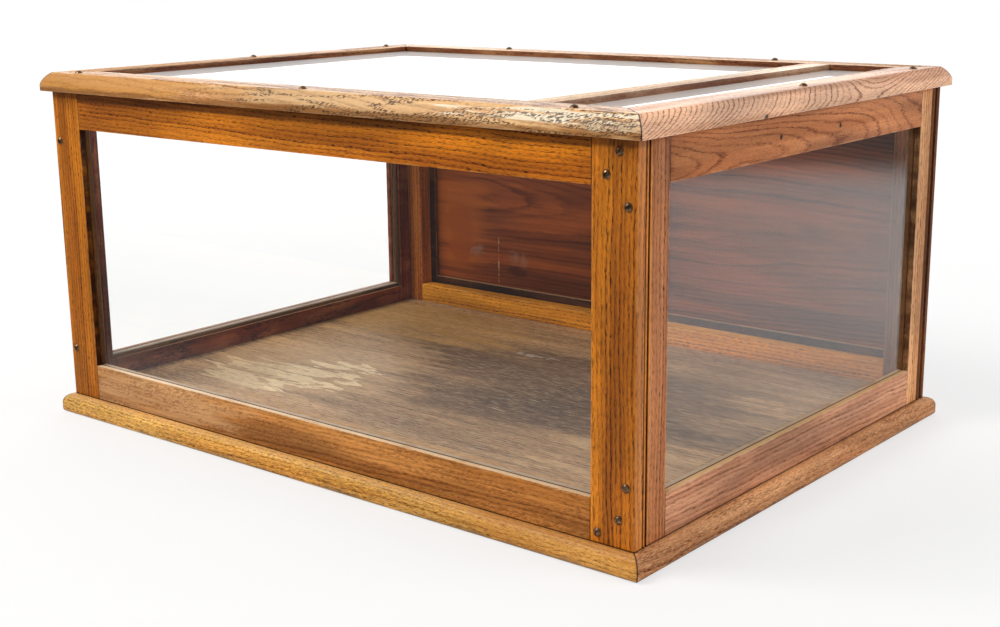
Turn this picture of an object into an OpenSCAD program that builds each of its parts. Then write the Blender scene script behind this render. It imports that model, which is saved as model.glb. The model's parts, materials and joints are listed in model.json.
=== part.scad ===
// Countertop display case in oak. Mitred base, upright frames glazed at the front and
// both ends, a framed glass top in two panes, and a pair of panelled doors at the back.
// Width runs along X, the front faces -Y, and the underside of the base is at Z = 0.
// The origin is under the middle of everything that the case reaches.

/* [Case] */
// Width over the corner posts
case_w = 740; // [600:5:900]
// Depth from the front face of the front frame to the back face of the back frame
case_d = 544; // [420:4:700]
// Height of the upright frames, from the base to the top frame
frame_h = 330; // [280:5:420]
// Thickness of the stock in the upright frames
frame_t = 19; // [18:0.5:24]

/* [Front frame] */
// Width of the two front posts
front_post_w = 43; // [36:1:60]
// Height of the top rail of the front frame
front_top_rail_h = 38; // [32:1:60]
// Height of the bottom rail of the front frame
front_bottom_rail_h = 38; // [34:1:60]
// Radius of the bead worked on the outer edge of each front post
front_bead_r = 1.7; // [1:0.1:2.4]
// Plain edge of a front post in front of its bead
front_bead_set = 11.1; // [8:0.1:11.5]
// Width of the quirk in front of a front post's bead
front_quirk_near = 1.2; // [0.8:0.1:1.6]
// Width of the quirk behind a front post's bead
front_quirk_far = 1.9; // [1:0.1:2.2]
// Radius of the eased front arris of a front post
post_arris_r = 1.5; // [0.5:0.1:3]

/* [End frames] */
// Width of the stile next to the front post
end_front_stile_w = 25; // [22:1:40]
// Width of the stile next to the back frame
end_back_stile_w = 23; // [22:1:40]
// Height of the top rail of an end frame
end_top_rail_h = 38; // [32:1:60]
// Height of the bottom rail of an end frame
end_bottom_rail_h = 38; // [34:1:60]

/* [Back frame] */
// Width of the two outer stiles of the back frame
back_stile_w = 40; // [38:1:60]
// Width of the stile between the two doorways
back_centre_w = 40; // [36:1:60]
// Height of the top rail of the back frame
back_top_rail_h = 38; // [34:1:60]
// Height of the bottom rail of the back frame
back_bottom_rail_h = 35; // [32:1:60]
// Radius of the bead worked on the outer edge of each back stile
back_bead_r = 3.6; // [2:0.1:3.8]
// Width of the quirk in front of a back stile's bead
back_quirk_near = 1; // [0.8:0.1:1.6]
// Width of the quirk behind a back stile's bead
back_quirk_far = 2.4; // [1:0.1:2.6]
// Plain edge of a back stile behind its bead
back_bead_set = 6.2; // [4:0.1:7]

/* [Glazing] */
// Thickness of the wood lip in front of the glass
lip_t = 6; // [4:0.5:7]
// Depth of the rebate behind the lip, measured from the sight edge
rebate_w = 5; // [4:0.5:8]
// Thickness of the glass
glass_t = 3; // [2:0.5:4]
// Clearance between the edge of a pane and its rebate
glass_gap = 1; // [0.3:0.1:2]
// Height of the glazing beads off the glass
bead_h = 8; // [6:0.5:9]
// Gap left at the mitres of the glazing beads
bead_mitre_gap = 0.2; // [0.1:0.05:0.5]

/* [Joints] */
// Length of the tenons of the upright frames
tenon_l = 18; // [12:1:19]
// Thickness of the tenons
tenon_t = 6.5; // [5:0.5:8]
// Shoulder that each tenon leaves at the outer edge of its rail
tenon_shoulder = 8; // [5:1:12]
// Play of a tenon in its mortise
tenon_play = 0.1; // [0.05:0.05:0.3]
// Gap between the end of a tenon and the floor of its mortise
tenon_end_gap = 1; // [0.5:0.1:3]

/* [Base] */
// Height of the base moulding
base_h = 20; // [16:1:30]
// How far the base moulding stands out beyond the frames
base_overhang = 10.5; // [8:0.5:16]
// Width of the base moulding, from its nose to its inner edge
base_rail_w = 56; // [48:1:80]
// Radius of the round along the top of the base moulding
base_round_r = 10; // [6:0.5:11]
// Radius of the small round along the foot of the base moulding
base_foot_r = 3.5; // [1:0.5:5]
// Thickness of the floor board
floor_t = 12.5; // [9:0.5:18]
// Gap between the floor board and the frames
floor_gap = 0.3; // [0.2:0.1:1]

/* [Top frame] */
// Thickness of the top frame
top_t = 19; // [17:0.5:24]
// How far the top frame stands out beyond the upright frames
top_overhang = 8.6; // [6:0.2:14]
// Width of the rails of the top frame, from nose to sight edge
top_rail_w = 43; // [38:1:60]
// Height of the upright band under the slope of the top moulding
top_band_h = 6; // [3:0.5:8]
// Width of the slope of the top moulding
top_slope_w = 9.5; // [6:0.5:12]
// How far the slope swells out beyond a straight chamfer
top_slope_swell = 1.5; // [0.6:0.1:2.2]
// Width of the crossbar between the two panes
crossbar_w = 27; // [22:1:40]
// Clear width of the narrow pane at the right
narrow_pane_w = 72.5; // [50:0.5:120]
// Length of the stub tenons at the ends of the crossbar
crossbar_tenon_l = 12; // [8:1:16]

/* [Doors] */
// Thickness of the doors
door_t = 16; // [14:0.5:20]
// How far a door lies over the back frame on each side
door_overlap = 19; // [15:0.5:19]
// Gap between the two doors
door_gap = 2; // [1.5:0.5:4]
// Gap between a closed door and the back frame
door_rest_gap = 0.5; // [0.3:0.1:1]
// Width of the stile that carries the hinges
door_hinge_stile_w = 28; // [26:1:40]
// Width of the stile that carries the latch
door_meeting_stile_w = 38; // [36:1:60]
// Width of the top and bottom rails of a door
door_rail_w = 28; // [26:1:40]
// Thickness of the door panels
door_panel_t = 5; // [4:0.5:6]
// Depth of the panel's face below the inner face of the door
door_panel_set = 5; // [3:0.5:7]
// Depth of the groove that holds the panel and the stub tenons
door_groove_d = 7; // [5:0.5:9]
// Play of the panel in its groove on each face
door_panel_play = 0.15; // [0.1:0.05:0.3]
// Gap between the edge of a panel and the floor of its groove
door_panel_end_gap = 1; // [0.5:0.1:2]

/* [Hinges] */
// Length of a hinge
hinge_l = 50; // [40:1:60]
// Distance from the end of a door to its nearer hinge
hinge_end = 50; // [45:1:70]
// Width of a leaf from the pin to its edge
hinge_leaf_w = 12.5; // [9:0.5:14]
// Thickness of a leaf
hinge_leaf_t = 1.3; // [1:0.1:1.6]
// Radius of the knuckles
hinge_barrel_r = 2.6; // [2.2:0.1:3]
// Radius of the hinge pin
hinge_pin_r = 1.2; // [0.9:0.1:1.5]
// Running clearance of the pin in the knuckles
hinge_pin_play = 0.05; // [0.02:0.01:0.09]
// Gap between a knuckle and whatever turns past it
hinge_gap = 0.4; // [0.3:0.1:0.8]

/* [Latches] */
// Radius of the latch spindle
spindle_r = 2.5; // [2:0.1:3]
// Running clearance of the spindle in the door
spindle_play = 0.05; // [0.02:0.01:0.09]
// Distance from the edge of the centre stile to the spindle
spindle_set = 8.5; // [8:0.5:9]
// Radius of the round latch plate
latch_plate_r = 8; // [6.5:0.5:10]
// Thickness of the latch plate
latch_plate_t = 1.2; // [0.8:0.1:2]
// Length of the thumb turn
thumb_l = 30; // [22:1:36]
// Width of the thumb turn
thumb_w = 9; // [8:0.5:12]
// Thickness of the thumb turn
thumb_t = 6; // [4:0.5:8]
// Length of the neck between the plate and the thumb turn
thumb_neck_l = 9; // [6:0.5:14]
// Length of the tongue from the spindle to its tip
tongue_l = 17; // [15:0.5:19]
// Width of the tongue
tongue_w = 8; // [7:0.5:10]
// Thickness of the tongue
tongue_t = 2.5; // [2:0.5:4]
// Gap between the tongue and the centre stile when the latch is turned home
tongue_gap = 0.8; // [0.4:0.1:1.5]
// How far the neck of the thumb turn stands round the spindle at its foot
thumb_foot_step = 2; // [1:0.1:3]
// How far the neck of the thumb turn stands round the spindle at its top
thumb_top_step = 0.8; // [0.3:0.1:2]
// Step in radius from the spindle to its end in the tongue
spindle_end_step = 0.7; // [0.4:0.1:1]
// Length of the spindle's end that stands out of the tongue
rivet_h = 0.8; // [0.4:0.1:1.5]

/* [Screws] */
// Radius of the round screw heads
screw_head_r = 4; // [3:0.1:4.5]
// Height of the round screw heads
screw_head_h = 2.6; // [1.8:0.1:3.5]
// Radius of the screw shanks
screw_shank_r = 2; // [1.5:0.1:2.2]
// Length of the screws that tie one frame to the next
long_screw_l = 32; // [26:1:36]
// Length of the screws that pin the joints of the right front post
short_screw_l = 15; // [12:1:16]
// Clearance of a screw in its hole
screw_play = 0.1; // [0.05:0.05:0.3]
// Distance of the frame screws from the outer edge of the post
post_screw_in = 8.5; // [8:0.5:11]
// Height of the lower frame screw above the base
post_screw_low = 53; // [46:1:70]
// Distance of the upper frame screw below the top of the frames
post_screw_high = 52; // [46:1:70]
// Upper tenon of the right front post: distance of its screw from the sight edge
top_tenon_screw_in = 14; // [6:0.5:16]
// Upper tenon of the right front post: height of its screw over the rail's sight edge
top_tenon_screw_up = 9.5; // [8:0.5:16]
// Lower tenon of the right front post: distance of its screw from the sight edge
foot_tenon_screw_in = 7; // [5:0.5:9]
// Lower tenon of the right front post: height of its screw over the foot of the tenon
foot_tenon_screw_up = 1.5; // [1:0.5:8]
// Screw beyond the upper tenon: distance from the end of the tenon
top_post_screw_out = 8; // [4:0.5:9]
// Screw beyond the upper tenon: distance below the top of the post
top_post_screw_down = 10; // [7:0.5:20]
// Screw beyond the lower tenon: distance from the end of the tenon
foot_post_screw_out = 9.5; // [4:0.5:10]
// Screw beyond the lower tenon: height over the base
foot_post_screw_up = 24.5; // [14:0.5:30]
// Distance of the top screws from the face of the frame under them
top_screw_in = 10; // [9:0.5:12]
// Distance of the outer top screws from the side of the case
top_screw_side = 36; // [28:1:50]
// Distance of the screw beside the crossbar from the right side of the case
top_screw_crossbar = 67; // [55:1:90]
// Distance of the rearmost end-rail screws from the back of the case
top_screw_back = 46; // [36:1:60]
// Radius of the hinge screw heads
hinge_screw_head_r = 2.3; // [1.8:0.1:2.6]
// Radius of the hinge screw shanks
hinge_screw_r = 1.1; // [0.8:0.1:1.3]
// Length of the hinge screws
hinge_screw_l = 11; // [8:0.5:13]
// Width of the slot in a round screw head
screw_slot_w = 1; // [0.6:0.1:1.4]
// Depth of the slot in a round screw head
screw_slot_d = 1.3; // [0.6:0.1:1.8]
// Width of the slot in a hinge screw
hinge_slot_w = 0.7; // [0.4:0.1:0.9]
// Depth of the slot in a hinge screw
hinge_slot_d = 0.5; // [0.3:0.1:0.8]
// Turn of the screw slots on the front posts, in degrees
front_slots = 35; // [0:5:180]
// Turn of the screw slots on the back stiles, in degrees
back_slots = 110; // [0:5:180]
// Turn of the slots of the joint screws, in degrees
joint_slots = 60; // [0:5:180]
// Turn of the screw slots on the top, in degrees
top_slots = 20; // [0:5:180]

/* [Hidden] */
$fn = 64;

// Colours
OAK_FRONT = [0.66, 0.38, 0.13];
OAK_POST = [0.62, 0.36, 0.15];
OAK_END = [0.63, 0.41, 0.26];
OAK_TOP = [0.75, 0.56, 0.33];
OAK_BASE = [0.74, 0.53, 0.24];
OAK_BACK = [0.60, 0.36, 0.16];
PANEL_WOOD = [0.38, 0.17, 0.10];
FLOOR_WOOD = [0.62, 0.49, 0.32];
GLASS = [0.80, 0.86, 0.84, 0.35];
BRONZE = [0.28, 0.22, 0.17];
BRASS = [0.66, 0.52, 0.28];

// A cut runs this far past the face that it opens
cut = 1;

// Heights
frame_z = base_h;
top_z = base_h + frame_h;
all_h = top_z + top_t;

// Faces of the case, measured from its middle
side_x = case_w / 2;
front_y = -case_d / 2;
back_y = case_d / 2;
end_l = case_d - 2 * frame_t;
inner_x = side_x - frame_t;

// Glazing
rebate_d = frame_t - lip_t;
bead_base_h = bead_h - rebate_w;
tenon_y = lip_t + (rebate_d - tenon_t) / 2;

// Clear openings of the glazed frames
front_clear_w = case_w - 2 * front_post_w;
front_clear_h = frame_h - front_top_rail_h - front_bottom_rail_h;
end_clear_w = end_l - end_front_stile_w - end_back_stile_w;
end_clear_h = frame_h - end_top_rail_h - end_bottom_rail_h;

// Top frame
top_in = top_rail_w - top_overhang;
top_clear_d = case_d - 2 * top_in;
crossbar_right_x = side_x - top_in - narrow_pane_w;
crossbar_x = crossbar_right_x - crossbar_w / 2;
large_pane_w = crossbar_right_x - crossbar_w + side_x - top_in;
large_pane_x = -side_x + top_in + large_pane_w / 2;
narrow_pane_x = side_x - top_in - narrow_pane_w / 2;
top_rebate_h = top_t - lip_t;
slope_h = top_t - top_band_h;
slope_chord = sqrt(top_slope_w * top_slope_w + slope_h * slope_h);
slope_r = slope_chord * slope_chord / (8 * top_slope_swell) + top_slope_swell / 2;
slope_off = slope_r - top_slope_swell;
slope_centre = [top_slope_w / 2 + slope_off * slope_h / slope_chord,
                (top_t + top_band_h) / 2 - slope_off * top_slope_w / slope_chord];

// Doorways and doors. The left door is drawn, and the right one is its mirror image
doorway_h = frame_h - back_top_rail_h - back_bottom_rail_h;
doorway_z = frame_z + back_bottom_rail_h;
door_x = -side_x + back_stile_w - door_overlap;
door_w = -door_gap / 2 - door_x;
door_z = doorway_z - door_overlap;
door_h = doorway_h + 2 * door_overlap;
door_y = back_y + door_rest_gap;
door_rail_l = door_w - door_hinge_stile_w - door_meeting_stile_w;
door_groove_w = door_panel_t + 2 * door_panel_play;
door_groove_y = door_panel_set - door_panel_play;

// Hinges. The pin stands clear of the back frame and of the door's edge alike
pin_off = hinge_barrel_r + hinge_gap;
pin_x = door_x - pin_off;
pin_y = back_y + pin_off;
hinge_z = [door_z + hinge_end, door_z + door_h - hinge_end - hinge_l];
knuckles = 5;
knuckle_l = hinge_l / knuckles;
hinge_screw_z = [knuckle_l / 2, hinge_l / 2, hinge_l - knuckle_l / 2];
leaf_screw_x = (hinge_leaf_w + hinge_barrel_r + hinge_gap) / 2;

// Latches
spindle_x = -back_centre_w / 2 - spindle_set;
spindle_z = doorway_z + doorway_h / 2;
door_face_y = door_y + door_t;
knob_y = door_face_y + latch_plate_t + hinge_gap;
tongue_y = back_y - frame_t - tongue_gap;
spindle_tip_r = spindle_r - spindle_end_step;

// Furthest reach behind the case, and the middle of the whole depth
back_reach = knob_y + thumb_neck_l + thumb_t - back_y;
case_y = -(back_reach - base_overhang) / 2;

// Screw places on the front and back posts: distance from the side, height over the base
post_screws = [[post_screw_in, post_screw_low], [post_screw_in, frame_h - post_screw_high]];
// Screws of the right front post, two through its tenons and two beyond them
tenon_end = front_post_w - tenon_l;
joint_places = [[front_post_w - top_tenon_screw_in,
                 frame_h - front_top_rail_h + top_tenon_screw_up],
                [front_post_w - foot_tenon_screw_in, tenon_shoulder + foot_tenon_screw_up],
                [tenon_end - top_post_screw_out, frame_h - top_post_screw_down],
                [tenon_end - foot_post_screw_out, foot_post_screw_up]];
// Screws down through the top frame: x and y from the middle of the case
top_places = [[-side_x + top_screw_side, front_y + top_screw_in],
              [0, front_y + top_screw_in],
              [side_x - top_screw_crossbar, front_y + top_screw_in],
              [-side_x + top_screw_in, 0],
              [-side_x + top_screw_in, back_y - top_screw_back],
              [side_x - top_screw_in, 0],
              [side_x - top_screw_in, back_y - top_screw_back],
              [-side_x / 2, back_y - top_screw_in],
              [side_x / 2, back_y - top_screw_in]];

// Moves the case so that the origin is under the middle of its whole reach
module in_case() {
    translate([0, case_y, 0])
        children();
}

// Bar along X with a section drawn in Y and Z
module bar_x(l) {
    rotate([90, 0, 90])
        linear_extrude(l, center = true)
            children();
}

// Plan of a mitred rail: l long at Y = 0 and w wide, less a gap at each mitre
module mitre_plan(l, w, gap = 0) {
    polygon([[-l / 2 + gap, 0], [l / 2 - gap, 0], [l / 2 - w - gap, w], [-l / 2 + w + gap, w]]);
}

// Mitred rail with the section of its child, its outer edge on Y = 0
module mitred_rail(l, w, h, gap = 0) {
    intersection() {
        bar_x(l)
            children();
        translate([0, 0, -cut])
            linear_extrude(h + 2 * cut)
                mitre_plan(l, w, gap);
    }
}

// Section of the base moulding, nose at Y = 0
module base_section() {
    translate([base_round_r, 0])
        square([base_rail_w - base_round_r, base_h]);
    translate([0, base_foot_r])
        square([base_rail_w, base_h - base_round_r - base_foot_r]);
    translate([base_foot_r, 0])
        square([base_rail_w - base_foot_r, base_h - base_round_r]);
    translate([base_round_r, base_h - base_round_r])
        circle(base_round_r);
    translate([base_foot_r, base_foot_r])
        circle(base_foot_r);
}

// Section of the top moulding: flat, swelling slope, upright band and glass rebate
module top_section() {
    difference() {
        union() {
            translate([top_slope_w, 0])
                square([top_rail_w - top_slope_w, top_t]);
            intersection() {
                square([top_slope_w + cut, top_t]);
                translate(slope_centre)
                    circle(slope_r, $fn = 180);
            }
        }
        translate([top_rail_w - rebate_w, -cut])
            square([rebate_w + cut, top_rebate_h + cut]);
    }
}

module base_rail(l) {
    mitred_rail(l, base_rail_w, base_h)
        base_section();
}

module top_rail(l) {
    translate([0, 0, top_z])
        mitred_rail(l, top_rail_w, top_t)
            top_section();
}

// Bead between two quirks along an upright edge that faces +X at x
module edge_bead_cut(x, y, r, quirk_near, quirk_far) {
    translate([x - r, y - r - quirk_near])
        square([r + cut, 2 * r + quirk_near + quirk_far]);
}

// Plan of the right front post: sight edge at X = 0, front face at Y = 0
module front_post_plan() {
    bead_y = front_bead_set + front_quirk_near + front_bead_r;
    difference() {
        square([front_post_w, frame_t]);
        edge_bead_cut(front_post_w, bead_y, front_bead_r, front_quirk_near, front_quirk_far);
        translate([-cut, lip_t])
            square([rebate_w + cut, rebate_d + cut]);
        translate([front_post_w - post_arris_r, -cut])
            square([post_arris_r + cut, post_arris_r + cut]);
    }
    translate([front_post_w - post_arris_r, post_arris_r])
        circle(post_arris_r);
    translate([front_post_w - front_bead_r, bead_y])
        circle(front_bead_r);
}

// Plan of the right back stile: doorway edge at X = 0, inner face at Y = 0
module back_stile_plan() {
    bead_y = frame_t - back_bead_set - back_quirk_far - back_bead_r;
    difference() {
        square([back_stile_w, frame_t]);
        edge_bead_cut(back_stile_w, bead_y, back_bead_r, back_quirk_near, back_quirk_far);
    }
    translate([back_stile_w - back_bead_r, bead_y])
        circle(back_bead_r);
}

// Mortises for a rail's tenon, in a stile whose sight edge is X = 0 and that runs to +X
module mortise(z, h) {
    translate([-cut, tenon_y - tenon_play, z - tenon_play])
        cube([tenon_l + tenon_end_gap + cut, tenon_t + 2 * tenon_play, h + 2 * tenon_play]);
}

// Both mortises of a stile between rails of the two heights
module stile_mortises(top_rail_h, bottom_rail_h) {
    mortise(tenon_shoulder, bottom_rail_h - rebate_w - tenon_shoulder);
    mortise(frame_h - top_rail_h + rebate_w, top_rail_h - rebate_w - tenon_shoulder);
}

// Glazed-frame stile: sight edge at X = 0, outer face at Y = 0
module glazed_stile(w, top_rail_h, bottom_rail_h) {
    difference() {
        cube([w, frame_t, frame_h]);
        translate([-cut, lip_t, -cut])
            cube([rebate_w + cut, rebate_d + cut, frame_h + 2 * cut]);
        stile_mortises(top_rail_h, bottom_rail_h);
    }
}

// Glazed-frame rail, clear_w long between the stiles, with its rebate along the top.
// Behind the lip it runs on into the rebates of the stiles, and a tenon goes further
module glazed_rail(clear_w, h) {
    difference() {
        union() {
            cube([clear_w, frame_t, h]);
            translate([-rebate_w, lip_t, 0])
                cube([clear_w + 2 * rebate_w, rebate_d, h]);
        }
        translate([-rebate_w - cut, lip_t, h - rebate_w])
            cube([clear_w + 2 * (rebate_w + cut), rebate_d + cut, rebate_w + cut]);
    }
    translate([-tenon_l, tenon_y, tenon_shoulder])
        cube([clear_w + 2 * tenon_l, tenon_t, h - rebate_w - tenon_shoulder]);
}

// The same rail turned over, to hang from the top of its frame
module glazed_top_rail(clear_w, h) {
    translate([0, 0, frame_h])
        mirror([0, 0, 1])
            glazed_rail(clear_w, h);
}

// Pane for a clear opening, its lower left sight corner at X = Z = 0
module pane(clear_w, clear_h) {
    lap = rebate_w - glass_gap;
    translate([-lap, lip_t, -lap])
        cube([clear_w + 2 * lap, glass_t, clear_h + 2 * lap]);
}

// Quarter-round section of a glazing bead: rebate at X = 0, glass at Y = 0
module bead_section() {
    square([rebate_w, bead_base_h]);
    translate([0, bead_base_h])
        intersection() {
            circle(rebate_w);
            square(rebate_w);
        }
}

// Four mitred beads round a clear opening, in the XY plane, standing up from the glass
module bead_ring(clear_w, clear_h) {
    w = clear_w + 2 * rebate_w;
    h = clear_h + 2 * rebate_w;
    for (side = [[0, w, h], [90, h, w], [180, w, h], [270, h, w]])
        rotate([0, 0, side[0]])
            translate([0, -side[2] / 2, 0])
                mitred_rail(side[1], rebate_w, bead_h, bead_mitre_gap)
                    bead_section();
}

// Bead ring of an upright frame, its lower left sight corner at X = Z = 0
module upright_beads(clear_w, clear_h) {
    translate([clear_w / 2, lip_t + glass_t, clear_h / 2])
        rotate([-90, 0, 0])
            bead_ring(clear_w, clear_h);
}

// Places the frames: the child is drawn with its outer face on Y = 0
module at_front() {
    in_case()
        translate([-side_x, front_y, frame_z])
            children();
}

module at_right_end() {
    in_case()
        translate([side_x, front_y + frame_t, frame_z])
            rotate([0, 0, 90])
                children();
}

module at_left_end() {
    mirror([1, 0, 0])
        at_right_end()
            children();
}

module at_back() {
    in_case()
        translate([-side_x, back_y - frame_t, frame_z])
            children();
}

// Turns a child drawn for the right side of a frame of width w to its left side
module flip_x(w) {
    translate([w, 0, 0])
        mirror([1, 0, 0])
            children();
}

// Round-head screw along -Z, the underside of its head at Z = 0
module screw(l, turn) {
    dome_r = (screw_head_r * screw_head_r + screw_head_h * screw_head_h) / (2 * screw_head_h);
    difference() {
        intersection() {
            translate([0, 0, screw_head_h - dome_r])
                sphere(dome_r);
            cylinder(r = screw_head_r, h = screw_head_h);
        }
        rotate([0, 0, turn])
            translate([-screw_head_r, -screw_slot_w / 2, screw_head_h - screw_slot_d])
                cube([2 * screw_head_r, screw_slot_w, screw_slot_d + cut]);
    }
    translate([0, 0, -l])
        cylinder(r = screw_shank_r, h = l + (screw_head_h - screw_slot_d) / 2);
}

module screw_hole(l) {
    translate([0, 0, -l - cut])
        cylinder(r = screw_shank_r + screw_play, h = l + 2 * cut);
}

// Countersunk hinge screw along -Z, the top of its head at Z = 0
module hinge_screw() {
    head_h = hinge_screw_head_r - hinge_screw_r;
    difference() {
        union() {
            translate([0, 0, -head_h])
                cylinder(r1 = hinge_screw_r, r2 = hinge_screw_head_r, h = head_h);
            translate([0, 0, -hinge_screw_l])
                cylinder(r = hinge_screw_r, h = hinge_screw_l - head_h / 2);
        }
        translate([-hinge_screw_head_r, -hinge_slot_w / 2, -hinge_slot_d])
            cube([2 * hinge_screw_head_r, hinge_slot_w, hinge_slot_d + cut]);
    }
}

module hinge_screw_hole() {
    head_h = hinge_screw_head_r - hinge_screw_r;
    translate([0, 0, -head_h])
        cylinder(r1 = hinge_screw_r + screw_play, r2 = hinge_screw_head_r + screw_play,
                 h = head_h);
    translate([0, 0, -hinge_screw_l - cut])
        cylinder(r = hinge_screw_r + screw_play, h = hinge_screw_l + 2 * cut);
}

// Places of the screws. The children are drawn along -Z and go in where the screw does
module at_front_screws(places) {
    for (p = places)
        translate([side_x - p[0], front_y, frame_z + p[1]])
            rotate([90, 0, 0])
                children();
}

module at_back_screws(places) {
    for (p = places)
        translate([side_x - p[0], back_y, frame_z + p[1]])
            rotate([-90, 0, 0])
                children();
}

module at_top_screws() {
    for (p = top_places)
        translate([p[0], p[1], all_h])
            children();
}

// All holes that frame, joint and top screws need, in the case's own place
module frame_screw_holes() {
    in_case() {
        for (m = [0, 1])
            mirror([m, 0, 0]) {
                at_front_screws(post_screws)
                    screw_hole(long_screw_l);
                at_back_screws(post_screws)
                    screw_hole(long_screw_l);
            }
        at_front_screws(joint_places)
            screw_hole(short_screw_l);
    }
}

module top_screw_holes() {
    in_case()
        at_top_screws()
            screw_hole(long_screw_l);
}

// Hinge screws in the case and in the left door, each drawn along its own way in
module at_case_hinge_screws() {
    for (z = hinge_z, dz = hinge_screw_z)
        translate([pin_x - leaf_screw_x, back_y + hinge_leaf_t, z + dz])
            rotate([-90, 0, 0])
                children();
}

module at_door_hinge_screws() {
    for (z = hinge_z, dz = hinge_screw_z)
        translate([door_x - hinge_leaf_t, pin_y + leaf_screw_x, z + dz])
            rotate([0, -90, 0])
                children();
}

// Stretches of a hinge's length that belong to its fixed (0) or moving (1) leaf
module knuckle_stretches(moving, r) {
    for (i = [0 : knuckles - 1])
        if (i % 2 == moving)
            translate([0, 0, i * knuckle_l + hinge_gap / 2])
                cylinder(r = r, h = knuckle_l - hinge_gap);
}

// One leaf lies along +X below the pin: knuckles, leaf, room for the other knuckles
module hinge_leaf(moving) {
    difference() {
        union() {
            translate([0, -pin_off, hinge_gap / 2])
                cube([hinge_leaf_w, hinge_leaf_t, hinge_l - hinge_gap]);
            knuckle_stretches(moving, hinge_barrel_r);
        }
        for (i = [0 : knuckles - 1])
            if (i % 2 != moving)
                translate([-pin_off, -pin_off - cut, i * knuckle_l - hinge_gap / 2])
                    cube([2 * pin_off, 2 * pin_off + cut, knuckle_l + hinge_gap]);
        translate([0, 0, -cut])
            cylinder(r = hinge_pin_r + hinge_pin_play, h = hinge_l + 2 * cut);
    }
}

// Door parts, in a frame with the door's inner face on Y = 0 and its lower hinge-side
// corner on X = Z = 0
module at_left_door() {
    in_case()
        translate([door_x, door_y, door_z])
            children();
}

module door_stile(w) {
    difference() {
        cube([w, door_t, door_h]);
        translate([w - door_groove_d, door_groove_y, -cut])
            cube([door_groove_d + cut, door_groove_w, door_h + 2 * cut]);
    }
}

module door_rail() {
    difference() {
        cube([door_rail_l, door_t, door_rail_w]);
        translate([-cut, door_groove_y, door_rail_w - door_groove_d])
            cube([door_rail_l + 2 * cut, door_groove_w, door_groove_d + cut]);
    }
    translate([-door_groove_d, door_groove_y, 0])
        cube([door_rail_l + 2 * door_groove_d, door_groove_w, door_rail_w - door_groove_d]);
}

module door_hinge_stile() {
    difference() {
        at_left_door()
            door_stile(door_hinge_stile_w);
        in_case()
            at_door_hinge_screws()
                hinge_screw_hole();
    }
}

module door_meeting_stile() {
    difference() {
        at_left_door()
            flip_x(door_w)
                door_stile(door_meeting_stile_w);
        in_case()
            translate([spindle_x, door_y - cut, spindle_z])
                rotate([-90, 0, 0])
                    cylinder(r = spindle_r + spindle_play, h = door_t + 2 * cut);
    }
}

module door_bottom_rail() {
    at_left_door()
        translate([door_hinge_stile_w, 0, 0])
            door_rail();
}

module door_top_rail() {
    at_left_door()
        translate([door_hinge_stile_w, 0, door_h])
            mirror([0, 0, 1])
                door_rail();
}

module door_panel() {
    lap = door_groove_d - door_panel_end_gap;
    at_left_door()
        translate([door_hinge_stile_w - lap, door_panel_set, door_rail_w - lap])
            cube([door_rail_l + 2 * lap, door_panel_t, door_h - 2 * (door_rail_w - lap)]);
}

// Leaves of the left door: the fixed one runs to -X, the moving one into +Y
module case_leaves() {
    difference() {
        in_case()
            for (z = hinge_z)
                translate([pin_x, pin_y, z])
                    mirror([1, 0, 0])
                        hinge_leaf(0);
        in_case()
            at_case_hinge_screws()
                hinge_screw_hole();
    }
}

module door_leaves() {
    difference() {
        in_case()
            for (z = hinge_z)
                translate([pin_x, pin_y, z])
                    rotate([0, 0, 90])
                        hinge_leaf(1);
        in_case()
            at_door_hinge_screws()
                hinge_screw_hole();
    }
}

module pins() {
    in_case()
        for (z = hinge_z)
            translate([pin_x, pin_y, z])
                cylinder(r = hinge_pin_r, h = hinge_l);
}

// Latch, drawn along +Y from the spindle's centre line
module at_left_latch(y) {
    in_case()
        translate([spindle_x, y, spindle_z])
            rotate([-90, 0, 0])
                children();
}

// Bar with round ends, l long over all, along the turned frame's Y
module round_bar(l, w, t) {
    linear_extrude(t) {
        square([w, l - w], center = true);
        for (s = [-1, 1])
            translate([0, s * (l - w) / 2])
                circle(w / 2);
    }
}

module latch_plate() {
    at_left_latch(door_face_y)
        difference() {
            cylinder(r = latch_plate_r, h = latch_plate_t);
            translate([0, 0, -cut])
                cylinder(r = spindle_r + spindle_play, h = latch_plate_t + 2 * cut);
        }
}

module latch_knob() {
    at_left_latch(knob_y) {
        cylinder(r1 = spindle_r + thumb_foot_step, r2 = spindle_r + thumb_top_step,
                 h = thumb_neck_l + cut);
        translate([0, 0, thumb_neck_l])
            round_bar(thumb_l, thumb_w, thumb_t);
        translate([0, 0, tongue_y - knob_y])
            cylinder(r = spindle_r, h = knob_y - tongue_y + cut);
        translate([0, 0, tongue_y - knob_y - tongue_t - rivet_h])
            cylinder(r = spindle_tip_r, h = tongue_t + rivet_h + cut);
    }
}

// Flat tongue that hangs from the spindle when the latch is free
module latch_tongue() {
    reach = tongue_l - tongue_w / 2;
    at_left_latch(tongue_y - tongue_t)
        difference() {
            linear_extrude(tongue_t) {
                circle(tongue_w / 2);
                translate([-tongue_w / 2, 0])
                    square([tongue_w, reach]);
                translate([0, reach])
                    circle(tongue_w / 2);
            }
            translate([0, 0, -cut])
                cylinder(r = spindle_tip_r + spindle_play, h = tongue_t + 2 * cut);
        }
}

module right_side() {
    mirror([1, 0, 0])
        children();
}

// Base and floor
module base_front_moulding() {
    color(OAK_BASE)
        in_case()
            translate([0, front_y - base_overhang, 0])
                base_rail(case_w + 2 * base_overhang);
}

module base_back_moulding() {
    color(OAK_BASE)
        in_case()
            translate([0, back_y + base_overhang, 0])
                rotate([0, 0, 180])
                    base_rail(case_w + 2 * base_overhang);
}

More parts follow.
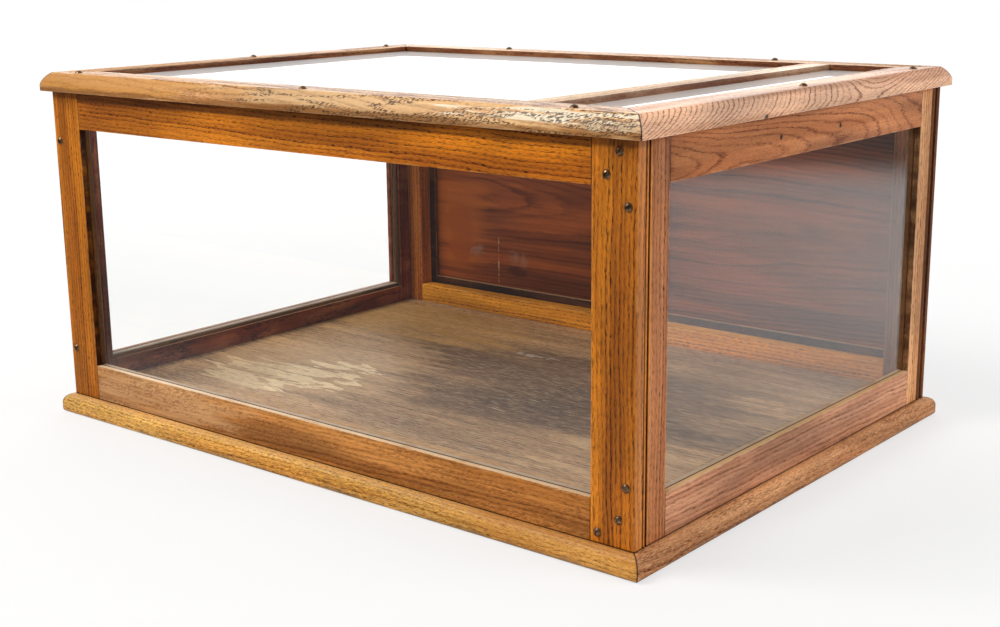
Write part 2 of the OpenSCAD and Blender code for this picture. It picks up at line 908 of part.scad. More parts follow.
module base_right_moulding() {
    color(OAK_BASE)
        in_case()
            translate([side_x + base_overhang, 0, 0])
                rotate([0, 0, 90])
                    base_rail(case_d + 2 * base_overhang);
}

module base_left_moulding() {
    mirror([1, 0, 0])
        base_right_moulding();
}

module floor_board() {
    w = 2 * (inner_x - floor_gap);
    d = end_l - 2 * floor_gap;
    color(FLOOR_WOOD)
        in_case()
            translate([-w / 2, -d / 2, base_h])
                cube([w, d, floor_t]);
}

// Front frame
module front_post(m) {
    color(OAK_POST)
        difference() {
            mirror([m, 0, 0])
                at_front()
                    translate([case_w - front_post_w, 0, 0])
                        difference() {
                            linear_extrude(frame_h)
                                front_post_plan();
                            stile_mortises(front_top_rail_h, front_bottom_rail_h);
                        }
            frame_screw_holes();
            top_screw_holes();
        }
}

module front_right_post() {
    front_post(0);
}

module front_left_post() {
    front_post(1);
}

module front_top_rail() {
    color(OAK_FRONT)
        difference() {
            at_front()
                translate([front_post_w, 0, 0])
                    glazed_top_rail(front_clear_w, front_top_rail_h);
            frame_screw_holes();
            top_screw_holes();
        }
}

module front_bottom_rail() {
    color(OAK_FRONT)
        difference() {
            at_front()
                translate([front_post_w, 0, 0])
                    glazed_rail(front_clear_w, front_bottom_rail_h);
            frame_screw_holes();
        }
}

module front_glass() {
    color(GLASS)
        at_front()
            translate([front_post_w, 0, front_bottom_rail_h])
                pane(front_clear_w, front_clear_h);
}

// End frames: the right one is drawn, from its front stile to its back stile
module end_front_stile() {
    at_right_end()
        flip_x(end_front_stile_w)
            glazed_stile(end_front_stile_w, end_top_rail_h, end_bottom_rail_h);
}

module end_back_stile() {
    at_right_end()
        translate([end_l - end_back_stile_w, 0, 0])
            glazed_stile(end_back_stile_w, end_top_rail_h, end_bottom_rail_h);
}

module end_top_rail() {
    at_right_end()
        translate([end_front_stile_w, 0, 0])
            glazed_top_rail(end_clear_w, end_top_rail_h);
}

module end_bottom_rail() {
    at_right_end()
        translate([end_front_stile_w, 0, 0])
            glazed_rail(end_clear_w, end_bottom_rail_h);
}

module end_glass() {
    at_right_end()
        translate([end_front_stile_w, 0, end_bottom_rail_h])
            pane(end_clear_w, end_clear_h);
}

// An end-frame piece of one side, with the screw holes that reach it
module drilled_end(m) {
    color(OAK_END)
        difference() {
            mirror([m, 0, 0])
                children();
            frame_screw_holes();
            top_screw_holes();
        }
}

module right_front_stile() {
    drilled_end(0)
        end_front_stile();
}

module left_front_stile() {
    drilled_end(1)
        end_front_stile();
}

module right_back_stile() {
    drilled_end(0)
        end_back_stile();
}

module left_back_stile() {
    drilled_end(1)
        end_back_stile();
}

module right_top_rail() {
    drilled_end(0)
        end_top_rail();
}

module left_top_rail() {
    drilled_end(1)
        end_top_rail();
}

module right_bottom_rail() {
    drilled_end(0)
        end_bottom_rail();
}

module left_bottom_rail() {
    drilled_end(1)
        end_bottom_rail();
}

module right_glass() {
    color(GLASS)
        end_glass();
}

module left_glass() {
    color(GLASS)
        mirror([1, 0, 0])
            end_glass();
}

module front_glazing_beads() {
    color(OAK_BACK)
        at_front()
            translate([front_post_w, 0, front_bottom_rail_h])
                upright_beads(front_clear_w, front_clear_h);
}

module end_glazing_beads() {
    color(OAK_BACK)
        for (m = [0, 1])
            mirror([m, 0, 0])
                at_right_end()
                    translate([end_front_stile_w, 0, end_bottom_rail_h])
                        upright_beads(end_clear_w, end_clear_h);
}

// Back frame
module back_stile(m) {
    color(OAK_BACK)
        difference() {
            mirror([m, 0, 0])
                difference() {
                    at_back()
                        translate([case_w - back_stile_w, 0, 0])
                            difference() {
                                linear_extrude(frame_h)
                                    back_stile_plan();
                                stile_mortises(back_top_rail_h + rebate_w,
                                               back_bottom_rail_h + rebate_w);
                            }
                    in_case()
                        mirror([1, 0, 0])
                            at_case_hinge_screws()
                                hinge_screw_hole();
                }
            frame_screw_holes();
            top_screw_holes();
        }
}

module back_right_stile() {
    back_stile(0);
}

module back_left_stile() {
    back_stile(1);
}

// Back rail from stile to stile, with the mortise of the centre stile in its top edge
module back_rail(h) {
    l = case_w - 2 * back_stile_w;
    difference() {
        union() {
            cube([l, frame_t, h]);
            translate([-tenon_l, tenon_y, tenon_shoulder])
                cube([l + 2 * tenon_l, tenon_t, h - tenon_shoulder]);
        }
        translate([(l - back_centre_w) / 2 + tenon_shoulder - tenon_play,
                   tenon_y - tenon_play, h - tenon_l - tenon_play])
            cube([back_centre_w - 2 * (tenon_shoulder - tenon_play),
                  tenon_t + 2 * tenon_play, tenon_l + cut]);
    }
}

module back_bottom_rail() {
    color(OAK_BACK)
        at_back()
            translate([back_stile_w, 0, 0])
                back_rail(back_bottom_rail_h);
}

module back_top_rail() {
    color(OAK_BACK)
        difference() {
            at_back()
                translate([back_stile_w, 0, frame_h])
                    mirror([0, 0, 1])
                        back_rail(back_top_rail_h);
            top_screw_holes();
        }
}

module back_centre_stile() {
    color(OAK_BACK)
        at_back()
            translate([(case_w - back_centre_w) / 2, 0, back_bottom_rail_h]) {
                cube([back_centre_w, frame_t, doorway_h]);
                translate([tenon_shoulder, tenon_y, -tenon_l])
                    cube([back_centre_w - 2 * tenon_shoulder, tenon_t,
                          doorway_h + 2 * tenon_l]);
            }
}

// Top frame
module top_long_rail() {
    in_case()
        translate([0, front_y - top_overhang, 0])
            top_rail(case_w + 2 * top_overhang);
}

// Mortises that the crossbar's stub tenons fill
module crossbar_mortises() {
    w = crossbar_w - 2 * rebate_w + 2 * tenon_play;
    l = top_clear_d + 2 * (rebate_w + crossbar_tenon_l + tenon_play);
    in_case()
        translate([crossbar_x - w / 2, -l / 2, top_z + (top_rebate_h - tenon_t) / 2 - tenon_play])
            cube([w, l, tenon_t + 2 * tenon_play]);
}

module drilled_top() {
    color(OAK_TOP)
        difference() {
            children();
            top_screw_holes();
        }
}

module top_front_rail() {
    drilled_top()
        difference() {
            top_long_rail();
            crossbar_mortises();
        }
}

module top_back_rail() {
    drilled_top()
        difference() {
            in_case()
                translate([0, back_y + top_overhang, 0])
                    rotate([0, 0, 180])
                        top_rail(case_w + 2 * top_overhang);
            crossbar_mortises();
        }
}

module top_end_rail() {
    in_case()
        translate([side_x + top_overhang, 0, 0])
            rotate([0, 0, 90])
                top_rail(case_d + 2 * top_overhang);
}

module top_right_rail() {
    drilled_top()
        top_end_rail();
}

module top_left_rail() {
    drilled_top()
        mirror([1, 0, 0])
            top_end_rail();
}

module top_crossbar() {
    web_w = crossbar_w - 2 * rebate_w;
    web_l = top_clear_d + 2 * rebate_w;
    stub_l = web_l + 2 * crossbar_tenon_l;
    color(OAK_TOP)
        in_case()
            translate([crossbar_x, 0, top_z]) {
                translate([-crossbar_w / 2, -top_clear_d / 2, top_rebate_h])
                    cube([crossbar_w, top_clear_d, lip_t]);
                translate([-web_w / 2, -web_l / 2, 0])
                    cube([web_w, web_l, top_rebate_h]);
                translate([-web_w / 2, -stub_l / 2, (top_rebate_h - tenon_t) / 2])
                    cube([web_w, stub_l, tenon_t]);
            }
}

// Top pane and its beads, both centred on x
module top_pane(x, w) {
    lap = rebate_w - glass_gap;
    in_case()
        translate([x - w / 2 - lap, -top_clear_d / 2 - lap, top_z + top_rebate_h - glass_t])
            cube([w + 2 * lap, top_clear_d + 2 * lap, glass_t]);
}

module top_beads(x, w) {
    in_case()
        translate([x, 0, top_z + top_rebate_h - glass_t])
            mirror([0, 0, 1])
                bead_ring(w, top_clear_d);
}

module top_large_glass() {
    color(GLASS)
        top_pane(large_pane_x, large_pane_w);
}

module top_narrow_glass() {
    color(GLASS)
        top_pane(narrow_pane_x, narrow_pane_w);
}

module top_glazing_beads() {
    color(OAK_BACK) {
        top_beads(large_pane_x, large_pane_w);
        top_beads(narrow_pane_x, narrow_pane_w);
    }
}

// Screws
module case_screws() {
    color(BRONZE)
        in_case() {
            for (m = [0, 1])
                mirror([m, 0, 0]) {
                    at_front_screws(post_screws)
                        screw(long_screw_l, front_slots);
                    at_back_screws(post_screws)
                        screw(long_screw_l, back_slots);
                }
            at_top_screws()
                screw(long_screw_l, top_slots);
        }
}

module joint_screws() {
    color(BRONZE)
        in_case()
            at_front_screws(joint_places)
                screw(short_screw_l, joint_slots);
}

// Hinges of both doors
module hinge_case_leaves() {
    color(BRASS)
        for (m = [0, 1])
            mirror([m, 0, 0])
                case_leaves();
}

module hinge_pins() {
    color(BRASS)
        for (m = [0, 1])
            mirror([m, 0, 0])
                pins();
}

module hinge_case_screws() {
    color(BRASS)
        for (m = [0, 1])
            mirror([m, 0, 0])
                in_case()
                    at_case_hinge_screws()
                        hinge_screw();
}

module door_screws() {
    color(BRASS)
        in_case()
            at_door_hinge_screws()
                hinge_screw();
}

// Left door
module left_door_hinge_stile() {
    color(OAK_BACK)
        door_hinge_stile();
}

module left_door_meeting_stile() {
    color(OAK_BACK)
        door_meeting_stile();
}

module left_door_top_rail() {
    color(OAK_BACK)
        door_top_rail();
}

module left_door_bottom_rail() {
    color(OAK_BACK)
        door_bottom_rail();
}

module left_door_panel() {
    color(PANEL_WOOD)
        door_panel();
}

module left_door_leaves() {
    color(BRASS)
        door_leaves();
}

module left_door_screws() {
    door_screws();
}

module left_latch_plate() {
    color(BRASS)
        latch_plate();
}

module left_latch_knob() {
    color(BRASS)
        latch_knob();
}

module left_latch_tongue() {
    color(BRASS)
        latch_tongue();
}

// Right door, the mirror image of the left
module right_door_hinge_stile() {
    right_side()
        left_door_hinge_stile();
}

module right_door_meeting_stile() {
    right_side()
        left_door_meeting_stile();
}

module right_door_top_rail() {
    right_side()
        left_door_top_rail();
}

module right_door_bottom_rail() {
    right_side()
        left_door_bottom_rail();
}

module right_door_panel() {
    right_side()
        left_door_panel();
}

module right_door_leaves() {
    right_side()
        left_door_leaves();
}

module right_door_screws() {
    right_side()
        left_door_screws();
}

module right_latch_plate() {
    right_side()
        left_latch_plate();
}

module right_latch_knob() {
    right_side()
        left_latch_knob();
}

module right_latch_tongue() {
    right_side()
        left_latch_tongue();
}

base_front_moulding();
base_back_moulding();
base_left_moulding();
base_right_moulding();
floor_board();
front_left_post();
front_right_post();
front_top_rail();
front_bottom_rail();
front_glass();
left_front_stile();
left_back_stile();
left_top_rail();
left_bottom_rail();
left_glass();
right_front_stile();
right_back_stile();
right_top_rail();
right_bottom_rail();
right_glass();
front_glazing_beads();
end_glazing_beads();
back_left_stile();
back_right_stile();
back_centre_stile();
back_top_rail();
back_bottom_rail();
top_front_rail();
top_back_rail();
top_left_rail();
top_right_rail();
top_crossbar();
top_large_glass();
top_narrow_glass();
top_glazing_beads();
case_screws();
joint_screws();
hinge_case_leaves();
hinge_pins();
hinge_case_screws();
left_door_hinge_stile();
left_door_meeting_stile();
left_door_top_rail();
left_door_bottom_rail();
left_door_panel();
left_door_leaves();
left_door_screws();
left_latch_plate();
left_latch_knob();
left_latch_tongue();
right_door_hinge_stile();
right_door_meeting_stile();
right_door_top_rail();
right_door_bottom_rail();
right_door_panel();
right_door_leaves();
right_door_screws();
right_latch_plate();
right_latch_knob();
right_latch_tongue();
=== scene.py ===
import json
import math

import bmesh
import bpy
from mathutils import Matrix, Vector

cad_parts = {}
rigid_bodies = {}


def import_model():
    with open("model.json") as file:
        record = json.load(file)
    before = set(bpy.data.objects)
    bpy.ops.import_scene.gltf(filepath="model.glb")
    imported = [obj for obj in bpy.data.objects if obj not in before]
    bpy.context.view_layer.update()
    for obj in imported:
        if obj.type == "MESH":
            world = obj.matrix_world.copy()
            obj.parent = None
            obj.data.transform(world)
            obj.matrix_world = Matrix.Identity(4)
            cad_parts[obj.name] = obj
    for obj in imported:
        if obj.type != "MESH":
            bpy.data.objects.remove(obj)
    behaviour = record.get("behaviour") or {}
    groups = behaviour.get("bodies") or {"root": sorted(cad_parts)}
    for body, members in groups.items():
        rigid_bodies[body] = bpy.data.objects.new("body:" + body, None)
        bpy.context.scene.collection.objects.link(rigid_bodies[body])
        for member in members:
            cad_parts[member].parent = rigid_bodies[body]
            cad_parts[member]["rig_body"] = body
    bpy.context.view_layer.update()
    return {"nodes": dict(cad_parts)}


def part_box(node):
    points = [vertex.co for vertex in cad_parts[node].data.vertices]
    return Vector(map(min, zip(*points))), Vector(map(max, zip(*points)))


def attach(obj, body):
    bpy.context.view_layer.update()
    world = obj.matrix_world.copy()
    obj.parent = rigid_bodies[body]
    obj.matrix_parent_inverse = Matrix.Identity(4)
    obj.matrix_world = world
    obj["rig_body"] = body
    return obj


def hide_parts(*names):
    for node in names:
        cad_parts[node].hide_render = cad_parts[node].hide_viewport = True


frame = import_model()

bpy.context.scene.view_settings.view_transform = "Standard"

MM = 0.001
X, Y, Z = 0, 1, 2
RIGHT, LEFT = (1.0, 0.0, 0.0), (-1.0, 0.0, 0.0)
BACK, FRONT = (0.0, 1.0, 0.0), (0.0, -1.0, 0.0)
UP = (0.0, 0.0, 1.0)


def mm(*values):
    """A place or a size given in mm, in the metres of the frame."""
    return tuple(v * MM for v in values)


# Shader tools


def shade(hexed):
    """A colour written as six hex digits, as the linear colour that a shader takes."""
    parts = [int(hexed[i : i + 2], 16) / 255 for i in (0, 2, 4)]
    linear = [p / 12.92 if p <= 0.04045 else ((p + 0.055) / 1.055) ** 2.4 for p in parts]
    return (*linear, 1.0)


def node(tree, kind, **settings):
    made = tree.nodes.new(kind)
    for key, value in settings.items():
        setattr(made, key, value)
    return made


def feed(tree, socket, value):
    """Joins an output to a socket, or writes a plain value on the socket."""
    if isinstance(value, bpy.types.NodeSocket):
        tree.links.new(value, socket)
    else:
        socket.default_value = value


def feed_in_turn(tree, sockets, values):
    for socket, value in zip(sockets, values):
        feed(tree, socket, value)


def feed_by_name(tree, sockets, values):
    for label, value in values.items():
        feed(tree, sockets[label], value)


def calc(tree, operation, *values, clamp=False):
    made = node(tree, "ShaderNodeMath", operation=operation, use_clamp=clamp)
    feed_in_turn(tree, made.inputs, values)
    return made.outputs[0]


def vector_calc(tree, operation, *values):
    made = node(tree, "ShaderNodeVectorMath", operation=operation)
    feed_in_turn(tree, made.inputs, values)
    gives_number = operation in ("LENGTH", "DISTANCE", "DOT_PRODUCT")
    return made.outputs["Value" if gives_number else "Vector"]


def split(tree, vector):
    made = node(tree, "ShaderNodeSeparateXYZ")
    feed(tree, made.inputs[0], vector)
    return made.outputs


def gather(tree, x, y, z):
    made = node(tree, "ShaderNodeCombineXYZ")
    feed_in_turn(tree, made.inputs, (x, y, z))
    return made.outputs[0]


def rise(tree, value, low, high, start=0.0, end=1.0):
    """A soft step from start to end while the value goes from low to high."""
    made = node(tree, "ShaderNodeMapRange", interpolation_type="SMOOTHSTEP")
    feed_in_turn(tree, made.inputs, (value, low, high, start, end))
    return made.outputs[0]


def fall(tree, value, low, high):
    """A soft step down from 1 to 0 while the value goes from low to high."""
    return rise(tree, value, low, high, 1.0, 0.0)


def away_from(tree, value, middle):
    """How far a value is from a middle, to either side."""
    return calc(tree, "ABSOLUTE", calc(tree, "SUBTRACT", value, middle))


def spreads_from(tree, vector, place, spread):
    """The distance from a place, in lengths of a spread that differs by axis."""
    offset = vector_calc(tree, "SUBTRACT", vector, place)
    return vector_calc(tree, "LENGTH", vector_calc(tree, "DIVIDE", offset, spread))


def mix(tree, factor, first, second, kind="MIX"):
    made = node(tree, "ShaderNodeMix", data_type="RGBA", blend_type=kind)
    feed(tree, made.inputs[0], factor)
    feed(tree, made.inputs[6], first)
    feed(tree, made.inputs[7], second)
    return made.outputs[2]


def laid(tree, colour, mask, strength, hexed):
    """A colour laid over another where a mask is."""
    return mix(tree, calc(tree, "MULTIPLY", mask, strength), colour, shade(hexed))


def darkened(tree, colour, mask, strength, hexed):
    """A colour multiplied by another where a mask is."""
    dark = mix(tree, 1.0, colour, shade(hexed), "MULTIPLY")
    return mix(tree, calc(tree, "MULTIPLY", mask, strength), colour, dark)


def noise(tree, vector, rate, detail=2.0, roughness=0.5, distortion=0.0, output="Fac"):
    """A noise whose rate is its features per metre: one number, or one for each axis."""
    made = node(tree, "ShaderNodeTexNoise")
    if isinstance(rate, float):
        rate = (rate, rate, rate)
    values = {
        "Vector": vector_calc(tree, "MULTIPLY", vector, rate),
        "Scale": 1.0,
        "Detail": detail,
        "Roughness": roughness,
        "Distortion": distortion,
    }
    feed_by_name(tree, made.inputs, values)
    return made.outputs[output]


def patchy(tree, mask, coords, rate, low, high, least):
    """A mask that a noise from low to high weakens in places, to the least share of it."""
    uneven = noise(tree, coords, rate, 3.0)
    return calc(tree, "MULTIPLY", mask, rise(tree, uneven, low, high, least, 1.0))


FLOAT, VECTOR, COLOR = "NodeSocketFloat", "NodeSocketVector", "NodeSocketColor"


def new_group(name, inputs, outputs=(("Mask", FLOAT),)):
    tree = bpy.data.node_groups.new(name, "ShaderNodeTree")
    for label, kind, value in inputs:
        socket = tree.interface.new_socket(name=label, in_out="INPUT", socket_type=kind)
        if value is not None:
            socket.default_value = value
    for label, kind in outputs:
        tree.interface.new_socket(name=label, in_out="OUTPUT", socket_type=kind)
    start = node(tree, "NodeGroupInput")
    end = node(tree, "NodeGroupOutput")
    return tree, start.outputs, end.inputs


def use_group(tree, group, values):
    made = node(tree, "ShaderNodeGroup", node_tree=group)
    feed_by_name(tree, made.inputs, values)
    return made.outputs


# Shared effects

# Features per metre of each part of the grain: along the board, and across it
GRAIN_RATES = {
    "drift": (2.1, 7.0),
    "wobble": (12.0, 60.0),
    "fuzz": (55.0, 420.0),
    "dashes": (185.0, 1150.0),
    "hairs": (300.0, 3200.0),
    "streaks": (2.6, 55.0),
    "blotch": (5.0, 24.0),
}
SEED_STEP = (1.73, 0.91, 2.37)  # metres between the places of two boards in the noises
WOBBLE_SHIFT, FUZZ_SHIFT = 1.3, 0.5  # in rings
HAIR_STRENGTH = 0.5
LATE_PORES = 0.28  # the share of pores that the dense late wood has
STREAK_BROWN = 0.62


def make_oak_grain():
    """Growth rings, open pores and streaks of a sawn oak board.

    The vector runs along the grain, then across the width, then through the thickness.
    The heart of the tree lies beside the board and below its face, and leans along it.
    """
    tree, given, out = new_group(
        "oak_grain",
        [
            ("Vector", VECTOR, None),
            ("Seed", FLOAT, 1.0),
            ("Heart Beside", FLOAT, 0.07),
            ("Heart Below", FLOAT, 0.06),
            ("Lean", FLOAT, 0.0),
            ("Ring Width", FLOAT, 0.004),
            ("Waver", FLOAT, 0.012),
            ("Pore Amount", FLOAT, 0.8),
            ("Ring Amount", FLOAT, 0.6),
            ("Ring Fade", FLOAT, 0.75),
            ("Pale", COLOR, shade("C98A3C")),
            ("Brown", COLOR, shade("935020")),
            ("Pore", COLOR, shade("4A260C")),
        ],
        [("Color", COLOR), ("Height", FLOAT), ("Pores", FLOAT), ("Streaks", FLOAT)],
    )
    seed = gather(tree, given["Seed"], given["Seed"], given["Seed"])
    place = vector_calc(tree, "MULTIPLY_ADD", seed, SEED_STEP, given["Vector"])

    def figure(part, detail=2.0, roughness=0.5, output="Fac"):
        along_rate, across_rate = GRAIN_RATES[part]
        rate = (along_rate, across_rate, across_rate)
        return noise(tree, place, rate, detail, roughness, output=output)

    # The distance from the heart, which wanders as the trunk does
    along, across, through = split(tree, given["Vector"])
    drift = vector_calc(tree, "SUBTRACT", figure("drift", output="Color"), (0.5, 0.5, 0.5))
    drift_beside, drift_below, _ = split(tree, drift)
    beside = calc(tree, "ADD", across, given["Heart Beside"])
    beside = calc(tree, "MULTIPLY_ADD", drift_beside, given["Waver"], beside)
    below = calc(tree, "MULTIPLY_ADD", along, given["Lean"], given["Heart Below"])
    below = calc(tree, "ADD", through, below)
    below = calc(tree, "MULTIPLY_ADD", drift_below, given["Waver"], below)
    radius = vector_calc(tree, "LENGTH", gather(tree, 0.0, beside, below))

    # Each year's porous early wood, which fades into the late wood
    fuzz = figure("fuzz")
    rings = calc(tree, "DIVIDE", radius, given["Ring Width"])
    rings = calc(tree, "MULTIPLY_ADD", figure("wobble"), WOBBLE_SHIFT, rings)
    rings = calc(tree, "MULTIPLY_ADD", fuzz, FUZZ_SHIFT, rings)
    phase = calc(tree, "FRACT", rings)
    luck = node(tree, "ShaderNodeTexWhiteNoise", noise_dimensions="1D")
    feed(tree, luck.inputs["W"], calc(tree, "ADD", calc(tree, "FLOOR", rings), given["Seed"]))
    vigour = rise(tree, luck.outputs["Value"], 0.0, 1.0, 0.35, 1.0)
    fading = fall(tree, phase, 0.15, given["Ring Fade"])
    early = calc(tree, "MULTIPLY", rise(tree, phase, 0.0, 0.12), fading)
    early = calc(tree, "MULTIPLY", early, vigour)
    open_wood = calc(tree, "MULTIPLY_ADD", early, 1.0 - LATE_PORES, LATE_PORES)

    def pored(mask):
        in_open_wood = calc(tree, "MULTIPLY", mask, open_wood)
        return calc(tree, "MULTIPLY", in_open_wood, given["Pore Amount"])

    dashes = pored(rise(tree, figure("dashes", 1.5), 0.46, 0.62))
    hairs = pored(rise(tree, figure("hairs", 1.0), 0.5, 0.68))
    hairs = calc(tree, "MULTIPLY", hairs, HAIR_STRENGTH)
    pores = calc(tree, "MINIMUM", calc(tree, "MAXIMUM", dashes, hairs), 1.0)

    streaks = rise(tree, figure("streaks", 3.0, 0.6), 0.36, 0.62)
    stain = calc(tree, "MULTIPLY", early, given["Ring Amount"])
    stain = calc(tree, "MULTIPLY_ADD", streaks, STREAK_BROWN, stain, clamp=True)
    colour = mix(tree, stain, given["Pale"], given["Brown"])
    blotch = rise(tree, figure("blotch", 3.0), 0.32, 0.68, 0.7, 1.26)
    colour = mix(tree, 1.0, colour, gather(tree, blotch, blotch, blotch), "MULTIPLY")
    colour = mix(tree, pores, colour, given["Pore"])

    height = calc(tree, "MULTIPLY_ADD", dashes, -1.0, 1.0)
    height = calc(tree, "MULTIPLY_ADD", early, -0.2, height)
    height = calc(tree, "MULTIPLY_ADD", fuzz, 0.15, height)
    made = {"Color": colour, "Height": height, "Pores": pores, "Streaks": streaks}
    feed_by_name(tree, out, made)
    return tree


def make_edge_rub():
    """Finish rubbed through along the edges of a board, given the corners of its box."""
    tree, given, out = new_group(
        "edge_rub",
        [
            ("Vector", VECTOR, None),
            ("Low", VECTOR, None),
            ("High", VECTOR, None),
            ("Reach", FLOAT, 0.002),
            ("Seed", FLOAT, 0.0),
        ],
    )
    # The second smallest distance to a face of the box is small only beside an edge
    from_low = vector_calc(tree, "SUBTRACT", given["Vector"], given["Low"])
    from_high = vector_calc(tree, "SUBTRACT", given["High"], given["Vector"])
    a, b, c = split(tree, vector_calc(tree, "MINIMUM", from_low, from_high))
    smaller = calc(tree, "MINIMUM", a, b)
    larger = calc(tree, "MAXIMUM", a, b)
    second = calc(tree, "MAXIMUM", smaller, calc(tree, "MINIMUM", larger, c))
    place = vector_calc(tree, "ADD", given["Vector"], gather(tree, given["Seed"], 0.0, 0.0))
    ragged = rise(tree, noise(tree, place, 60.0, 3.0, 0.6), 0.38, 0.7, 0.1, 2.2)
    reach = calc(tree, "MULTIPLY", given["Reach"], ragged)
    mask = calc(tree, "SUBTRACT", 1.0, calc(tree, "DIVIDE", second, reach), clamp=True)
    feed(tree, out["Mask"], mask)
    return tree


def make_spot():
    """A ragged round mark at a place, such as a nail hole or the dirt round a screw."""
    tree, given, out = new_group(
        "spot",
        [("Vector", VECTOR, None), ("Place", VECTOR, None), ("Reach", FLOAT, 0.004)],
    )
    far = vector_calc(tree, "DISTANCE", given["Vector"], given["Place"])
    ragged = rise(tree, noise(tree, given["Vector"], 500.0), 0.3, 0.7, 0.75, 1.2)
    edge = calc(tree, "MULTIPLY", given["Reach"], ragged)
    mask = calc(tree, "SUBTRACT", 1.0, calc(tree, "DIVIDE", far, edge), clamp=True)
    feed(tree, out["Mask"], rise(tree, mask, 0.0, 0.45))
    return tree


def make_patch():
    """Flaked or faded finish inside a long soft area, broken up along the grain."""
    tree, given, out = new_group(
        "patch",
        [
            ("Vector", VECTOR, None),
            ("Place", VECTOR, None),
            ("Spread", VECTOR, (0.1, 0.1, 0.1)),
            ("Stretch", VECTOR, (20.0, 60.0, 60.0)),
            ("Cover", FLOAT, 0.5),
            ("Softness", FLOAT, 0.03),
        ],
    )
    far = spreads_from(tree, given["Vector"], given["Place"], given["Spread"])
    inside = fall(tree, far, 0.35, 1.0)
    broken = noise(tree, given["Vector"], given["Stretch"], 4.0, 0.6, 0.5)
    level = calc(tree, "MULTIPLY", calc(tree, "SUBTRACT", broken, 0.5), 3.2)
    level = calc(tree, "ADD", level, inside)
    limit = calc(tree, "SUBTRACT", 1.5, given["Cover"])
    start = calc(tree, "SUBTRACT", limit, given["Softness"])
    end = calc(tree, "ADD", limit, given["Softness"])
    mask = rise(tree, level, start, end)
    feed(tree, out["Mask"], calc(tree, "MULTIPLY", mask, rise(tree, inside, 0.0, 0.15)))
    return tree


def make_scratches():
    """Fine broken scratches, as thin level lines of a slow noise."""
    tree, given, out = new_group(
        "scratches",
        [
            ("Vector", VECTOR, None),
            ("Stretch", VECTOR, (6.0, 30.0, 30.0)),
            ("Width", FLOAT, 0.004),
            ("Amount", FLOAT, 0.5),
        ],
    )
    slow = noise(tree, given["Vector"], given["Stretch"], 1.0)
    line = fall(tree, away_from(tree, slow, 0.5), 0.0, given["Width"])
    limit = calc(tree, "SUBTRACT", 0.85, calc(tree, "MULTIPLY", given["Amount"], 0.4))
    broken = noise(tree, given["Vector"], 17.0, 3.0)
    broken = rise(tree, broken, limit, calc(tree, "ADD", limit, 0.05))
    feed(tree, out["Mask"], calc(tree, "MULTIPLY", line, broken))
    return tree


def make_flecks():
    """Short slanting open pores in wavy bands, as where flame figure meets an edge."""
    tree, given, out = new_group(
        "flecks",
        [("Vector", VECTOR, None), ("Slant", FLOAT, 0.8), ("Band", FLOAT, 0.05)],
    )
    along, across, through = split(tree, given["Vector"])
    wave = noise(tree, given["Vector"], (8.0, 90.0, 90.0), 2.0, 0.5, 0.6)
    core = calc(tree, "MULTIPLY", given["Band"], 0.4)
    band = fall(tree, away_from(tree, wave, 0.5), core, given["Band"])
    leaning = calc(tree, "MULTIPLY_ADD", through, given["Slant"], along)
    rising = calc(tree, "SUBTRACT", through, calc(tree, "MULTIPLY", along, given["Slant"]))
    place = gather(tree, leaning, across, rising)
    strokes = rise(tree, noise(tree, place, (240.0, 500.0, 900.0), 1.0), 0.46, 0.58)
    feed(tree, out["Mask"], calc(tree, "MULTIPLY", band, strokes))
    return tree


OAK_GRAIN = make_oak_grain()
EDGE_RUB = make_edge_rub()
SPOT = make_spot()
PATCH = make_patch()
SCRATCHES = make_scratches()
FLECKS = make_flecks()


def new_finish(name):
    material = bpy.data.materials.new(name)
    material.use_nodes = True
    tree = material.node_tree
    tree.nodes.clear()
    shader = node(tree, "ShaderNodeBsdfPrincipled")
    surface = node(tree, "ShaderNodeOutputMaterial").inputs[0]
    tree.links.new(shader.outputs[0], surface)
    coords = node(tree, "ShaderNodeTexCoord").outputs["Object"]
    return material, tree, shader, surface, coords


def bumped(tree, shader, height, distance, strength):
    """Gives a shader the relief of a height, over a distance in mm."""
    bump = node(tree, "ShaderNodeBump")
    values = {"Strength": strength, "Distance": distance * MM, "Height": height}
    feed_by_name(tree, bump.inputs, values)
    tree.links.new(bump.outputs[0], shader.inputs["Normal"])


# Finishes of the oak

CUTS = {
    # name: heart beside, heart below, ring width, waver, in mm
    "rift": (75, 60, 3.6, 14),
    "plain": (6, 46, 4.6, 26),
    "wild": (10, 34, 4.2, 44),
    "figured": (14, 40, 3.0, 30),
    "fine": (10, 40, 2.4, 36),
}

